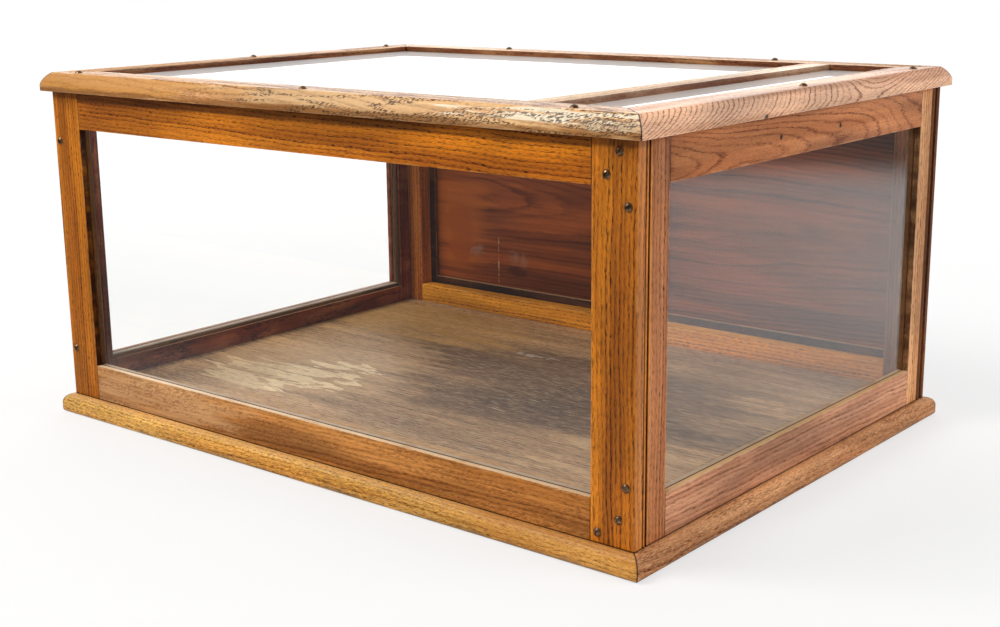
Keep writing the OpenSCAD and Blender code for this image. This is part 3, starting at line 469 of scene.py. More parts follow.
STAINS = {
    # name: pale, brown, pore, rubbed edge
    "front": ("E88916", "A14F02", "3A1B02", "E0A04C"),
    "post": ("E0861C", "924606", "301602", "DA9E54"),
    "base": ("FFCA70", "D6882E", "4C2808", "FFE4A4"),
    "base_side": ("FFB97E", "C67C48", "542C12", "F6CC9E"),
    "end": ("CC8450", "92502A", "46200E", "D8A87C"),
    # Lighter copies of the end stain: painted sheen on the low rail, painted light on the far
    # stile
    "end_low_sheen": ("DCA07A", "A4694A", "54301F", "E8C8AA"),
    "end_far_lit": ("FCBC84", "C8844C", "5E341A", "F6D0A8"),
    "top": ("EEB87A", "B4743A", "4A2A10", "F6DCB0"),
    "top_end": ("FCC49C", "B2724A", "55301C", "F8DABA"),
    "door": ("925626", "60300F", "2E1404", "AE7E46"),
    "bead": ("7E5836", "583A20", "2E1A0C", "9A744C"),
    "floor": ("D2A474", "9C7450", "44301E", "D8BA8C"),
    "inner": ("E08430", "9C501A", "46220A", "D29A5A"),
    "inner_rail": ("FCAA30", "D07A14", "5A300A", "F4BC60"),
    "low": ("D08C46", "98581E", "40200A", "E8C090"),
    "bar": ("FCDDB8", "D4A478", "7A5030", "FFEBD0"),
    # A paler copy of the bead stain: painted light falling from above through the top panes
    "top_bead_lit": ("F2D4A4", "D4A878", "8A6038", "F8E4C4"),
    "panel": ("90481E", "5A2810", "2A1006", "985C3C"),
}

GRAIN_DEPTH = 0.3  # mm
EDGE_REACH, EDGE_STRENGTH = 1.2, 0.4  # of the rubbed edges, the reach in mm


def oak(
    name, stain, cut, order, centre, seed,
    lean=0.0, pores=1.1, rings=0.5, fade=0.75,
    box=None, gloss=0.42, polish=0.14, relief=0.5, extra=None,
):
    """A board's own finish. The order gives the axes of its length, width and thickness.

    A board with a box has its edges rubbed. The extra step adds the marks of its own.
    """
    material, tree, shader, _, coords = new_finish(name)
    pale, brown, pore, rubbed = (shade(c) for c in STAINS[stain])
    beside, below, ring, waver = mm(*CUTS[cut])
    axes = split(tree, vector_calc(tree, "SUBTRACT", coords, tuple(centre)))
    wanted = {
        "Vector": gather(tree, *[axes[i] for i in order]),
        "Seed": float(seed),
        "Heart Beside": beside,
        "Heart Below": below,
        "Lean": lean,
        "Ring Width": ring,
        "Waver": waver,
        "Pore Amount": pores,
        "Ring Amount": rings,
        "Ring Fade": fade,
        "Pale": pale,
        "Brown": brown,
        "Pore": pore,
    }
    grain = use_group(tree, OAK_GRAIN, wanted)
    colour = grain["Color"]
    height = grain["Height"]
    if box:
        low, high = (tuple(corner) for corner in box)
        wanted = {"Low": low, "High": high, "Reach": EDGE_REACH * MM, "Seed": float(seed)}
        worn = use_group(tree, EDGE_RUB, {"Vector": coords, **wanted})["Mask"]
        colour = mix(tree, calc(tree, "MULTIPLY", worn, EDGE_STRENGTH), colour, rubbed)
    if extra:
        colour, height = extra(tree, coords, colour, height)
    roughness = calc(tree, "MULTIPLY_ADD", grain["Pores"], 0.25, gloss)
    roughness = calc(tree, "MULTIPLY_ADD", grain["Streaks"], 0.08, roughness)
    values = {
        "Base Color": colour,
        "Roughness": roughness,
        "Specular IOR Level": polish,
        "Coat Weight": 0.05,
        "Coat Roughness": 0.25,
    }
    feed_by_name(tree, shader.inputs, values)
    bumped(tree, shader, height, GRAIN_DEPTH, relief)
    return material


# Marks. Each of these makes a step, which takes a colour and a height and changes them.


def spots(places, reach, hexed, strength, depth=0.0):
    """Round marks of one colour at places in metres, with a reach in mm."""

    def add(tree, coords, colour, height):
        for place in places:
            wanted = {"Vector": coords, "Place": tuple(place), "Reach": reach * MM}
            mask = use_group(tree, SPOT, wanted)["Mask"]
            colour = laid(tree, colour, mask, strength, hexed)
            height = calc(tree, "MULTIPLY_ADD", mask, -depth, height)
        return colour, height

    return add


def patches(*rows):
    """Patches: place and spread in mm, stretch, cover, softness, colour and strength."""

    def add(tree, coords, colour, height):
        for place, spread, stretch, cover, softness, hexed, strength in rows:
            wanted = {
                "Vector": coords,
                "Place": mm(*place),
                "Spread": mm(*spread),
                "Stretch": stretch,
                "Cover": cover,
                "Softness": softness,
            }
            mask = use_group(tree, PATCH, wanted)["Mask"]
            colour = laid(tree, colour, mask, strength, hexed)
            height = calc(tree, "MULTIPLY_ADD", mask, 0.2, height)
        return colour, height

    return add


def scratched(stretch, width, amount, hexed, strength):
    """Fine scratches all over."""

    def add(tree, coords, colour, height):
        wanted = {"Vector": coords, "Stretch": stretch, "Width": width, "Amount": amount}
        mask = use_group(tree, SCRATCHES, wanted)["Mask"]
        colour = laid(tree, colour, mask, strength, hexed)
        return colour, calc(tree, "MULTIPLY_ADD", mask, -0.5, height)

    return add


def flecked(slant, band, hexed, strength, coming_in=None):
    """Flecks, which can come in along a front board from one place to another in mm."""

    def add(tree, coords, colour, height):
        wanted = {"Vector": coords, "Slant": slant, "Band": band}
        mask = use_group(tree, FLECKS, wanted)["Mask"]
        if coming_in:
            grown = rise(tree, split(tree, coords)[X], *mm(*coming_in))
            mask = calc(tree, "MULTIPLY", mask, grown)
        colour = laid(tree, colour, mask, strength, hexed)
        return colour, calc(tree, "MULTIPLY_ADD", mask, -0.8, height)

    return add


def speckled(rate, low, high, hexed, strength):
    """Small even specks, stretched along the grain."""

    def add(tree, coords, colour, height):
        mask = rise(tree, noise(tree, coords, rate, 1.0), low, high)
        return laid(tree, colour, mask, strength, hexed), height

    return add


def overhang_shadow(start, end, hexed):
    """Painted shadow: a darker colour under an overhang, from a height to a height in mm."""

    def add(tree, coords, colour, height):
        mask = rise(tree, split(tree, coords)[Z], *mm(start, end))
        mask = patchy(tree, mask, coords, (12.0, 12.0, 60.0), 0.25, 0.6, 0.6)
        return darkened(tree, colour, mask, 1.0, hexed), height

    return add


def groove_shade(spans, face, hexed, strength):
    """Painted shade in narrow grooves: their spans in Y, and how far out the end faces are, in mm.

    The shade gathers over the first millimetre below an end face.
    """

    def add(tree, coords, colour, height):
        sideways, across, _ = split(tree, coords)
        outward = calc(tree, "ABSOLUTE", sideways)
        sunk = fall(tree, outward, *mm(face - 1.2, face - 0.15))
        for start, end in spans:
            off = away_from(tree, across, (start + end) / 2 * MM)
            half = (end - start) / 2 * MM
            mask = calc(tree, "MULTIPLY", fall(tree, off, half * 0.75, half * 1.1), sunk)
            colour = laid(tree, colour, mask, strength, hexed)
        return colour, height

    return add


def seams(rows, half, hexed, strength):
    """Dark joint lines of a half width in mm, each where a direction reaches an offset."""

    def add(tree, coords, colour, height):
        for direction, offset in rows:
            place = vector_calc(tree, "DOT_PRODUCT", coords, direction)
            line = fall(tree, away_from(tree, place, offset * MM), *mm(half * 0.4, half))
            mask = calc(tree, "MULTIPLY", line, strength)
            colour = mix(tree, mask, colour, shade(hexed))
            height = calc(tree, "MULTIPLY_ADD", mask, -2.0, height)
        return colour, height

    return add


def facing(tree, direction, full=0.9):
    """A mask of the faces that look one way."""
    normal = node(tree, "ShaderNodeNewGeometry").outputs["Normal"]
    return rise(tree, vector_calc(tree, "DOT_PRODUCT", normal, direction), 0.6, full)


def upward_sheen(hexed, strength):
    """Painted sheen: a paler colour on the upward faces of a board."""

    def add(tree, coords, colour, height):
        mask = patchy(tree, facing(tree, UP, 0.95), coords, 30.0, 0.2, 0.5, 0.4)
        return laid(tree, colour, mask, strength, hexed), height

    return add


def shaded_facing(direction, hexed, strength):
    """Painted shade: a darker colour on the faces that look one way."""

    def add(tree, coords, colour, height):
        mask = patchy(tree, facing(tree, direction), coords, (14.0, 14.0, 60.0), 0.3, 0.6, 0.6)
        return darkened(tree, colour, mask, strength, hexed), height

    return add


def tinted(hexed, strength):
    """A colour laid evenly over the whole board."""

    def add(tree, coords, colour, height):
        return mix(tree, strength, colour, shade(hexed)), height

    return add


def only_on(direction, step):
    """Keeps what a step does to the colour of the faces that look one way."""

    def add(tree, coords, colour, height):
        changed, _ = step(tree, coords, colour, height)
        return mix(tree, facing(tree, direction), colour, changed), height

    return add


def around(place, spread, step):
    """Keeps what a step does to the colour of a soft area round a place, in mm."""

    def add(tree, coords, colour, height):
        changed, _ = step(tree, coords, colour, height)
        far = spreads_from(tree, coords, mm(*place), mm(*spread))
        return mix(tree, fall(tree, far, 0.75, 1.0), colour, changed), height

    return add


def greyed_foot(tree, coords, colour, height):
    """The step that greys the lower edge of the base, more towards the bottom."""
    uneven = noise(tree, coords, 25.0, 4.0, 0.65)
    top = rise(tree, uneven, 0.3, 0.7, *mm(1.5, 8.5))
    risen = calc(tree, "DIVIDE", split(tree, coords)[Z], top)
    mask = calc(tree, "SUBTRACT", 1.0, risen, clamp=True)
    return laid(tree, colour, mask, 0.75, "6E5A4C"), height


def all_of(*steps):
    """Several steps in turn, leaving out those that are None."""

    def add(tree, coords, colour, height):
        for step in steps:
            if step:
                colour, height = step(tree, coords, colour, height)
        return colour, height

    return add


# Eased boards

SAME_POINT = 1e-6  # metres
FLAT = math.radians(0.5)
SHARP = math.radians(38)
SMOOTH = math.radians(32)
SHORTEST_ARRIS = 5  # mm
HEAD_SLACK = 3.0  # mm


def islands(mesh):
    """The lowest and the highest corner of each separate solid of a mesh."""
    shape = bmesh.new()
    shape.from_mesh(mesh)
    bmesh.ops.remove_doubles(shape, verts=shape.verts, dist=SAME_POINT)
    shape.verts.ensure_lookup_table()
    seen = set()
    groups = []
    for first in shape.verts:
        if first.index in seen:
            continue
        stack = [first]
        seen.add(first.index)
        members = []
        while stack:
            vert = stack.pop()
            members.append(vert.co.copy())
            for edge in vert.link_edges:
                other = edge.other_vert(vert)
                if other.index not in seen:
                    seen.add(other.index)
                    stack.append(other)
        low = Vector(min(v[i] for v in members) for i in range(3))
        high = Vector(max(v[i] for v in members) for i in range(3))
        groups.append((low, high))
    shape.free()
    return groups


def lies_in(point, low, high, slack, axes=(X, Y, Z)):
    """Whether a point lies in a box that a slack widens, looking at some of the axes."""
    return all(low[i] - slack <= point[i] <= high[i] + slack for i in axes)


def long_axis(low, high):
    return max((X, Y, Z), key=lambda i: high[i] - low[i])


def weight_arrises(mesh):
    """Marks the long sharp edges, which are the ones that are eased."""
    shape = bmesh.new()
    shape.from_mesh(mesh)
    layers = shape.edges.layers.float
    weights = layers.get("bevel_weight_edge") or layers.new("bevel_weight_edge")
    for edge in shape.edges:
        if len(edge.link_faces) != 2 or edge.calc_length() < SHORTEST_ARRIS * MM:
            continue
        if edge.calc_face_angle(0.0) > SHARP and edge.is_convex:
            edge[weights] = 1.0
    shape.to_mesh(mesh)
    shape.free()


def eased(source_name, easing):
    """A board with its sharp arrises taken off, to stand for the node of the same board."""
    source = frame["nodes"][source_name]
    piece = bpy.data.objects.new(source_name + "_wood", source.data.copy())
    bpy.context.scene.collection.objects.link(piece)
    bpy.ops.object.select_all(action="DESELECT")
    bpy.context.view_layer.objects.active = piece
    piece.select_set(True)
    piece.data.materials.clear()
    bpy.ops.object.mode_set(mode="EDIT")
    bpy.ops.mesh.select_all(action="SELECT")
    bpy.ops.mesh.customdata_custom_splitnormals_clear()
    bpy.ops.mesh.remove_doubles(threshold=SAME_POINT)
    bpy.ops.mesh.dissolve_limited(angle_limit=FLAT)
    bpy.ops.object.mode_set(mode="OBJECT")
    weight_arrises(piece.data)
    bevel = piece.modifiers.new("easing", "BEVEL")
    bevel.limit_method = "WEIGHT"
    bevel.width = easing * MM
    bevel.segments = 2
    bevel.use_clamp_overlap = False
    bpy.ops.object.modifier_apply(modifier="easing")
    bpy.ops.object.shade_smooth_by_angle(angle=SMOOTH)
    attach(piece, source["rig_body"])
    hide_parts(source_name)
    return piece


SCREWS = [
    (low + high) / 2
    for name in ("case_screws", "joint_screws")
    for low, high in islands(frame["nodes"][name].data)
]

TOP_LOOK = {"polish": 0.35}
PANEL_LOOK = {"gloss": 0.5, "pores": 0.35, "relief": 0.15}

BOARDS = {
    # node: slot, stain, cut, seed, easing in mm, then what else differs
    "base_front_moulding": ("oak_base", "base", "rift", 11, 0.8, {"pores": 1.15}),
    "base_back_moulding": ("oak_base", "base_side", "rift", 12, 0.8, {}),
    "base_left_moulding": ("oak_base", "base_side", "rift", 13, 0.8, {}),
    "base_right_moulding": ("oak_base", "base_side", "plain", 14, 0.8, {"lean": 0.03}),
    "floor_board": ("oak_floor", "floor", "plain", 15, 0.6, {"gloss": 0.6}),
    "front_left_post": ("oak_post", "post", "rift", 16, 0.5, {}),
    "front_right_post": ("oak_post", "post", "rift", 17, 0.5, {}),
    "front_top_rail": ("oak_front", "front", "rift", 18, 0.5, {"lean": 0.035}),
    "front_bottom_rail": (
        "oak_front", "low", "rift", 19, 0.5, {"lean": -0.03, "pores": 0.75, "rings": 0.45}
    ),
    "left_front_stile": ("oak_end", "end", "rift", 20, 0.5, {}),
    "left_back_stile": ("oak_end", "end", "rift", 21, 0.5, {}),
    "left_top_rail": ("oak_end", "end", "rift", 22, 0.5, {"lean": 0.03}),
    "left_bottom_rail": ("oak_end", "end", "plain", 23, 0.5, {"lean": -0.03}),
    "right_front_stile": ("oak_end", "end", "rift", 24, 0.5, {}),
    "right_back_stile": ("oak_end", "end_far_lit", "rift", 25, 0.5, {}),
    "right_top_rail": (
        "oak_end", "end", "fine", 26, 0.5, {"lean": 0.05, "rings": 0.6, "fade": 0.45, "pores": 0.9}
    ),
    "right_bottom_rail": ("oak_end", "end_low_sheen", "rift", 27, 0.5, {"lean": 0.02, "pores": 0.75}),
    "back_left_stile": ("oak_back", "inner", "rift", 28, 0.5, {}),
    "back_right_stile": ("oak_back", "door", "rift", 29, 0.5, {}),
    "back_centre_stile": ("oak_back", "door", "rift", 30, 0.5, {}),
    "back_top_rail": ("oak_back", "door", "rift", 31, 0.5, {}),
    "back_bottom_rail": ("oak_back", "inner_rail", "rift", 32, 0.5, {}),
    "top_front_rail": (
        "oak_top", "top", "wild", 33, 0.6,
        {**TOP_LOOK, "lean": 0.05, "rings": 0.8, "fade": 0.5, "pores": 1.2},
    ),
    "top_back_rail": ("oak_top", "top", "plain", 34, 0.6, {**TOP_LOOK, "lean": 0.03}),
    "top_left_rail": ("oak_top", "top", "plain", 35, 0.6, {**TOP_LOOK, "lean": 0.05}),
    "top_right_rail": (
        "oak_top", "top_end", "figured", 36, 0.6,
        {**TOP_LOOK, "lean": -0.4, "rings": 1.0, "fade": 0.42, "pores": 0.9},
    ),
    "top_crossbar": ("oak_top", "bar", "rift", 37, 0.5, TOP_LOOK),
    "left_door_hinge_stile": ("oak_door", "door", "rift", 40, 0.5, {}),
    "left_door_meeting_stile": ("oak_door", "door", "rift", 41, 0.5, {}),
    "left_door_top_rail": ("oak_door", "door", "plain", 42, 0.5, {"lean": 0.03}),
    "left_door_bottom_rail": ("oak_door", "door", "rift", 43, 0.5, {}),
    "left_door_panel": ("panel_wood", "panel", "plain", 44, 0.4, {**PANEL_LOOK, "lean": 0.06}),
    "right_door_hinge_stile": ("oak_door", "door", "rift", 45, 0.5, {}),
    "right_door_meeting_stile": ("oak_door", "door", "rift", 46, 0.5, {}),
    "right_door_top_rail": ("oak_door", "door", "rift", 47, 0.5, {}),
    "right_door_bottom_rail": ("oak_door", "door", "plain", 48, 0.5, {"lean": -0.02}),
    "right_door_panel": ("panel_wood", "panel", "plain", 49, 0.4, {**PANEL_LOOK, "lean": 0.05}),
}

# Joint lines, each as a direction and its offset in mm
FRONT_MITRES = [((1.0, 1.0, 0.0), 86.7), ((-1.0, 1.0, 0.0), 86.7)]
BACK_MITRES = [((1.0, -1.0, 0.0), 109.3), ((-1.0, -1.0, 0.0), 109.3)]
ALL_MITRES = FRONT_MITRES + BACK_MITRES
FRONT_SHOULDERS = [(RIGHT, 327.0), (RIGHT, -327.0)]
END_SHOULDERS = [(BACK, -239.3), (BACK, 218.7)]
FRAME_FOOT, FRAME_HEAD = 20.0, 350.0  # heights
LEAST_UPRIGHT = 30  # mm; a lower board isn't one that stands on the base

# The colour of the painted shade on the inner faces of the frames
INNER_SHADE = "9A5A38"


def mitred(rows):
    return seams(rows, 1.1, "2A1508", 0.9)


def shouldered(rows):
    return seams(rows, 0.9, "241006", 0.75)


def shaded_inside(direction):
    """Painted shade on the inner faces of a frame."""
    return shaded_facing(direction, INNER_SHADE, 0.9)


def shaded_recess(direction):
    """Painted shade on the sides of the recess that the top panes lie in."""
    return shaded_facing(direction, "8A5438", 0.9)


# Painted shade in the quirks on the outer side faces of the front posts
FRONT_QUIRK_SHADE = groove_shade([(-272.9, -270.2), (-268.0, -264.0)], 370, "1C0D05", 0.92)
# Painted shadow of the top moulding on the heads of the front posts
POST_HEAD_SHADOW = overhang_shadow(341, 345, "B4B0AC")

DETAILS = {
    # Painted shade on the inner face of the left post
    "front_left_post": all_of(POST_HEAD_SHADOW, shaded_facing(RIGHT, "4A3022", 1.0), FRONT_QUIRK_SHADE),
    # Painted shade on the inner face of the right post, and painted sheen that makes its outer
    # side face paler
    "front_right_post": all_of(
        POST_HEAD_SHADOW,
        shaded_facing(LEFT, INNER_SHADE, 0.8),
        only_on(RIGHT, tinted("E0A070", 0.2)),
        FRONT_QUIRK_SHADE,
    ),
    # Painted shadow of the top moulding along the top of the front rail
    "front_top_rail": all_of(overhang_shadow(339.5, 342, "9C9A98"), shouldered(FRONT_SHOULDERS)),
    # Painted sheen on the upward lip of the front bottom rail
    "front_bottom_rail": all_of(
        patches(((-230, -283, 40), (190, 30, 60), (8, 60, 60), 0.95, 0.5, "E2B480", 0.5)),
        flecked(0.2, 0.1, "7A4214", 0.5),
        upward_sheen("EED0A8", 0.8),
        shouldered(FRONT_SHOULDERS),
    ),
    # Painted shade on the inner faces of the end frames and on the inward front faces of their
    # back stiles; painted sheen on the upward faces of their bottom rails
    "left_front_stile": shaded_inside(RIGHT),
    "left_back_stile": all_of(shaded_inside(RIGHT), shaded_facing(FRONT, INNER_SHADE, 0.9)),
    "left_top_rail": all_of(shaded_inside(RIGHT), shouldered(END_SHOULDERS)),
    "left_bottom_rail": all_of(shaded_inside(RIGHT), upward_sheen("B08C68", 0.5), shouldered(END_SHOULDERS)),
    "right_front_stile": shaded_inside(LEFT),
    "right_back_stile": all_of(shaded_inside(LEFT), shaded_facing(FRONT, "3A2618", 0.9)),
    "right_top_rail": all_of(
        shaded_inside(LEFT),
        spots([mm(370, -66.3, 330), mm(370, 42.7, 330)], 3.2, "2A140A", 0.95, 1.5),
        shouldered(END_SHOULDERS),
    ),
    "right_bottom_rail": all_of(shaded_inside(LEFT), upward_sheen("E6C08A", 0.6), shouldered(END_SHOULDERS)),
    # Painted shadow along the lower part of the back bottom rail
    "back_bottom_rail": patches(
        ((0, 220, 34), (600, 14, 12), (5, 30, 30), 0.95, 0.5, "6E3A1A", 0.6)
    ),
    "top_front_rail": all_of(
        patches(
            ((90, -288, 362), (330, 20, 16), (9, 60, 90), 0.9, 0.5, "EAC088", 0.6),
            ((285, -288, 363), (190, 20, 12), (11, 60, 260), 0.62, 0.12, "FDEFD2", 0.8),
            ((-250, -288, 362), (280, 20, 16), (7, 60, 90), 0.95, 0.4, "C88830", 0.65),
            ((346, -289, 358), (40, 16, 7), (60, 60, 60), 0.95, 0.5, "EEDCB8", 0.6),
            ((0, -291, 350), (700, 20, 8.5), (9, 60, 60), 0.95, 0.4, "8C5412", 0.75),
            ((320, -292, 351), (110, 20, 7), (9, 60, 60), 0.95, 0.4, "A86C2C", 0.6),
        ),
        around((346, -289, 360), (30, 18, 5), flecked(1.4, 0.6, "523618", 0.7)),
        flecked(0.35, 0.09, "4E3012", 0.9, (-260, 0)),
        mitred(FRONT_MITRES),
    ),
    # Painted shade on the sides of the recess under the top panes
    "top_back_rail": all_of(shaded_recess(FRONT), mitred(BACK_MITRES)),
    "top_left_rail": all_of(shaded_recess(RIGHT), mitred(ALL_MITRES)),
    "top_right_rail": all_of(
        spots([mm(378.6, -108, 350.5)], 4.0, "24120A", 0.9, 2.0), mitred(ALL_MITRES)
    ),
    # Painted shade on the crossbar's side face in the recess
    "top_crossbar": all_of(shaded_recess(RIGHT), spots([mm(253, -166, 366)], 2.2, "3A2010", 0.9, 1.0)),
    "base_front_moulding": all_of(
        # Painted sheen that makes the upward face of the base paler
        only_on(UP, tinted("E2AE78", 0.5)),
        speckled((150.0, 800.0, 800.0), 0.5, 0.66, "FFBA4A", 0.5),
        speckled((330.0, 1700.0, 1700.0), 0.53, 0.63, "74400E", 0.5),
        patches(((340, -290, 10), (230, 40, 60), (7, 60, 60), 0.9, 0.5, "B06E2C", 0.5)),
        greyed_foot,
        mitred(FRONT_MITRES),
    ),
    "base_back_moulding": all_of(greyed_foot, mitred(BACK_MITRES)),
    "base_left_moulding": all_of(greyed_foot, mitred(ALL_MITRES)),
    "base_right_moulding": all_of(
        speckled((800.0, 150.0, 800.0), 0.5, 0.66, "F4C08A", 0.35),
        speckled((1700.0, 330.0, 1700.0), 0.53, 0.63, "5E3818", 0.4),
        greyed_foot,
        mitred(ALL_MITRES),
    ),
    "floor_board": all_of(
        patches(
            ((60, 20, 32), (330, 190, 60), (3, 16, 16), 0.95, 0.35, "5A3E2E", 0.75),
            ((130, -30, 32), (220, 100, 60), (6, 40, 40), 0.7, 0.3, "46311F", 0.6),
            ((-250, 140, 32), (270, 130, 60), (5, 40, 40), 0.85, 0.35, "C4924C", 0.65),
            ((0, -225, 32), (360, 60, 60), (6, 44, 44), 0.8, 0.2, "BC8C56", 0.65),
            ((-210, -60, 32), (210, 200, 60), (9, 70, 70), 0.75, 0.3, "CBA374", 0.6),
            ((-190, -90, 32), (200, 160, 60), (6, 40, 40), 0.75, 0.25, "D4A878", 0.6),
            ((-240, -140, 32), (140, 85, 60), (12, 84, 84), 0.52, 0.03, "F0CE9C", 0.85),
            ((-170, -100, 32), (100, 105, 60), (15, 84, 84), 0.58, 0.03, "FFE0AE", 0.9),
            ((260, -150, 32), (160, 130, 60), (9, 70, 70), 0.6, 0.2, "CEA678", 0.6),
            ((-30, 107, 32), (66, 12, 30), (60, 500, 500), 0.3, 0.05, "F2ECE0", 0.8),
            ((20, -10, 32), (240, 170, 60), (90, 700, 700), 0.13, 0.06, "CFC2B0", 0.5),
        ),
        speckled((60.0, 560.0, 560.0), 0.5, 0.68, "E2C49A", 0.3),
        speckled((80.0, 700.0, 700.0), 0.5, 0.66, "3E2A1A", 0.35),
        scratched((4.0, 22.0, 22.0), 0.004, 0.55, "EADFCC", 0.75),
    ),
    "left_door_panel": all_of(
        only_on(
            FRONT,
            patches(
                ((-300, 266, 200), (100, 14, 190), (2, 60, 60), 0.85, 0.5, "BC6420", 0.65),
                ((-282, 266, 128), (34, 14, 60), (9, 60, 40), 0.85, 0.35, "9A4A16", 0.8),
                ((-217, 266, 97), (1.2, 14, 64), (1, 1, 90), 0.6, 0.4, "E4C8A4", 0.6),
                ((-252, 266, 104), (22, 14, 14), (60, 60, 40), 0.6, 0.5, "A07C6C", 0.45),
                ((-184, 266, 100), (30, 14, 20), (60, 60, 40), 0.5, 0.5, "A07C6C", 0.45),
                ((-186, 266, 86), (24, 14, 10), (30, 60, 40), 0.8, 0.5, "3A160C", 0.6),
            ),
        ),
        scratched((9.0, 9.0, 5.0), 0.003, 0.35, "C79C80", 0.6),
    ),
    "right_door_panel": scratched((9.0, 9.0, 5.0), 0.003, 0.35, "B98C70", 0.5),
}

# Painted shade on the front faces of the door frames, and painted sheen on their upward faces
for board in BOARDS:
    if "_door_" in board and not board.endswith("panel"):
        DETAILS[board] = all_of(shaded_facing(FRONT, "6A5242", 1.0), upward_sheen("C8A074", 0.5))


def finished_board(source_name):
    slot, stain, cut, seed, easing, other = BOARDS[source_name]
    piece = eased(source_name, easing)
    low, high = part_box(source_name)
    size = high - low
    length = long_axis(low, high)
    thick = min((X, Y, Z), key=lambda i: size[i])
    order = (length, X + Y + Z - length - thick, thick)
    heads = [s for s in SCREWS if lies_in(s, low, high, HEAD_SLACK * MM)]
    dirt = spots(heads, 7.0, "2B1509", 0.55) if heads else None
    ends = [
        (UP, height)
        for height, corner in ((FRAME_FOOT, low), (FRAME_HEAD, high))
        if abs(corner[Z] - height * MM) < MM and size[Z] > LEAST_UPRIGHT * MM
    ]
    joints = seams(ends, 1.8, "2A1508", 0.85) if ends else None
    extra = all_of(dirt, DETAILS.get(source_name), joints)
    centre = (low + high) / 2
    name = source_name + "_oak"
    finish = oak(name, stain, cut, order, centre, seed, box=(low, high), extra=extra, **other)
    piece.data.materials.append(finish)


for board in BOARDS:
    finished_board(board)


# Painted sheen on the upward faces of the beads
BEAD_TOP_SHEEN = upward_sheen("DCC8B4", 0.6)
BEAD_EASING = 0.8  # mm
ON_BOX, WITHIN_BOX = 1e-5, -1e-4  # slacks in metres


def beads(source_name, seed, stain):
    """Glazing beads, each with its grain along its own length."""
    piece = eased(source_name, BEAD_EASING)
    low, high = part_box(source_name)
    centre = (low + high) / 2
    groups = [(a, b, long_axis(a, b)) for a, b in islands(piece.data)]
    runs = list(dict.fromkeys(run for _, _, run in groups))
    for run in runs:
        order = (run, *(i for i in (X, Y, Z) if i != run))
        name = f"{source_name}_oak_{'xyz'[run]}"
        finish = oak(name, stain, "rift", order, centre, seed + run, extra=BEAD_TOP_SHEEN)
        piece.data.materials.append(finish)
    for face in piece.data.polygons:
        for a, b, run in groups:
            if lies_in(face.center, a, b, ON_BOX):
                face.material_index = runs.index(run)
                across = [i for i in (X, Y, Z) if i != run]
                if lies_in(face.center, a, b, WITHIN_BOX, across):
                    break


beads("front_glazing_beads", 60, "bead")
beads("end_glazing_beads", 64, "bead")
beads("top_glazing_beads", 68, "top_bead_lit")


# Glass and metal


def shader_blend(tree, factor, first, second):
    made = node(tree, "ShaderNodeMixShader")
    feed_in_turn(tree, made.inputs, (factor, first, second))
    return made.outputs[0]


def clear_glass(name, dust):
    """Plain sheet glass; the dust on a level pane shows as a veil at a low angle."""
    material, tree, shader, surface, _ = new_finish(name)
    values = {
        "Sheen Weight": dust,
        "Sheen Roughness": 0.35,
        "Base Color": (0.985, 0.99, 0.985, 1.0),
        "Roughness": 0.0,
        "IOR": 1.5,
        "Transmission Weight": 1.0,
    }
    feed_by_name(tree, shader.inputs, values)
    # Light on its way to other things goes straight through
    through = node(tree, "ShaderNodeBsdfTransparent")
    through.inputs[0].default_value = (0.96, 0.965, 0.96, 1.0)
    path = node(tree, "ShaderNodeLightPath").outputs
    soft = calc(tree, "SUBTRACT", path["Is Glossy Ray"], path["Is Singular Ray"], clamp=True)
    soft = calc(tree, "MAXIMUM", soft, path["Is Diffuse Ray"])
    passing = calc(tree, "MAXIMUM", path["Is Shadow Ray"], soft)
    feed(tree, surface, shader_blend(tree, passing, shader.outputs[0], through.outputs[0]))
    return material


def bronzed_screw():
    material, tree, shader, _, coords = new_finish("bronzed_screw")
    patina = noise(tree, coords, 260.0, 4.0, 0.6)
    worn = rise(tree, patina, 0.35, 0.65)
    values = {
        "Base Color": mix(tree, worn, shade("4A3A2C"), shade("8E6E4E")),
        "Metallic": 0.85,
        "Roughness": rise(tree, patina, 0.3, 0.7, 0.42, 0.26),
    }
    feed_by_name(tree, shader.inputs, values)
    bumped(tree, shader, patina, 0.2, 0.5)
    return material


def aged_brass():
    material, tree, shader, _, coords = new_finish("aged_brass")
    patina = noise(tree, coords, 90.0, 5.0, 0.62)
    fine = noise(tree, coords, 700.0, 3.0)
    colour = mix(tree, rise(tree, patina, 0.4, 0.66), shade("B8924E"), shade("7A5A30"))
    colour = mix(tree, rise(tree, fine, 0.58, 0.72, 0.0, 0.6), colour, shade("4C3820"))
    values = {
        "Base Color": colour,
        "Metallic": 1.0,
        "Roughness": rise(tree, patina, 0.35, 0.7, 0.28, 0.48),
    }
    feed_by_name(tree, shader.inputs, values)
    bumped(tree, shader, fine, 0.1, 0.4)
    return material


def finish_nodes(names, material):
    for name in names:
        for slot in frame["nodes"][name].material_slots:
            slot.material = material


PANES = [name for name in frame["nodes"] if name.endswith("glass")]
TOP_PANES = [name for name in PANES if name.startswith("top_")]
finish_nodes([name for name in PANES if name not in TOP_PANES], clear_glass("upright_glass", 0.0))
finish_nodes(TOP_PANES, clear_glass("level_glass", 1.0))

DOOR_SCREWS = ["left_door_screws", "right_door_screws"]
finish_nodes(["case_screws", "joint_screws", "hinge_case_screws", *DOOR_SCREWS], bronzed_screw())

DOOR_BRASS = [
    side + part
    for side in ("left", "right")
    for part in ("_door_leaves", "_latch_plate", "_latch_knob", "_latch_tongue")
]
finish_nodes(["hinge_case_leaves", "hinge_pins", *DOOR_BRASS], aged_brass())


# Floor, light and camera

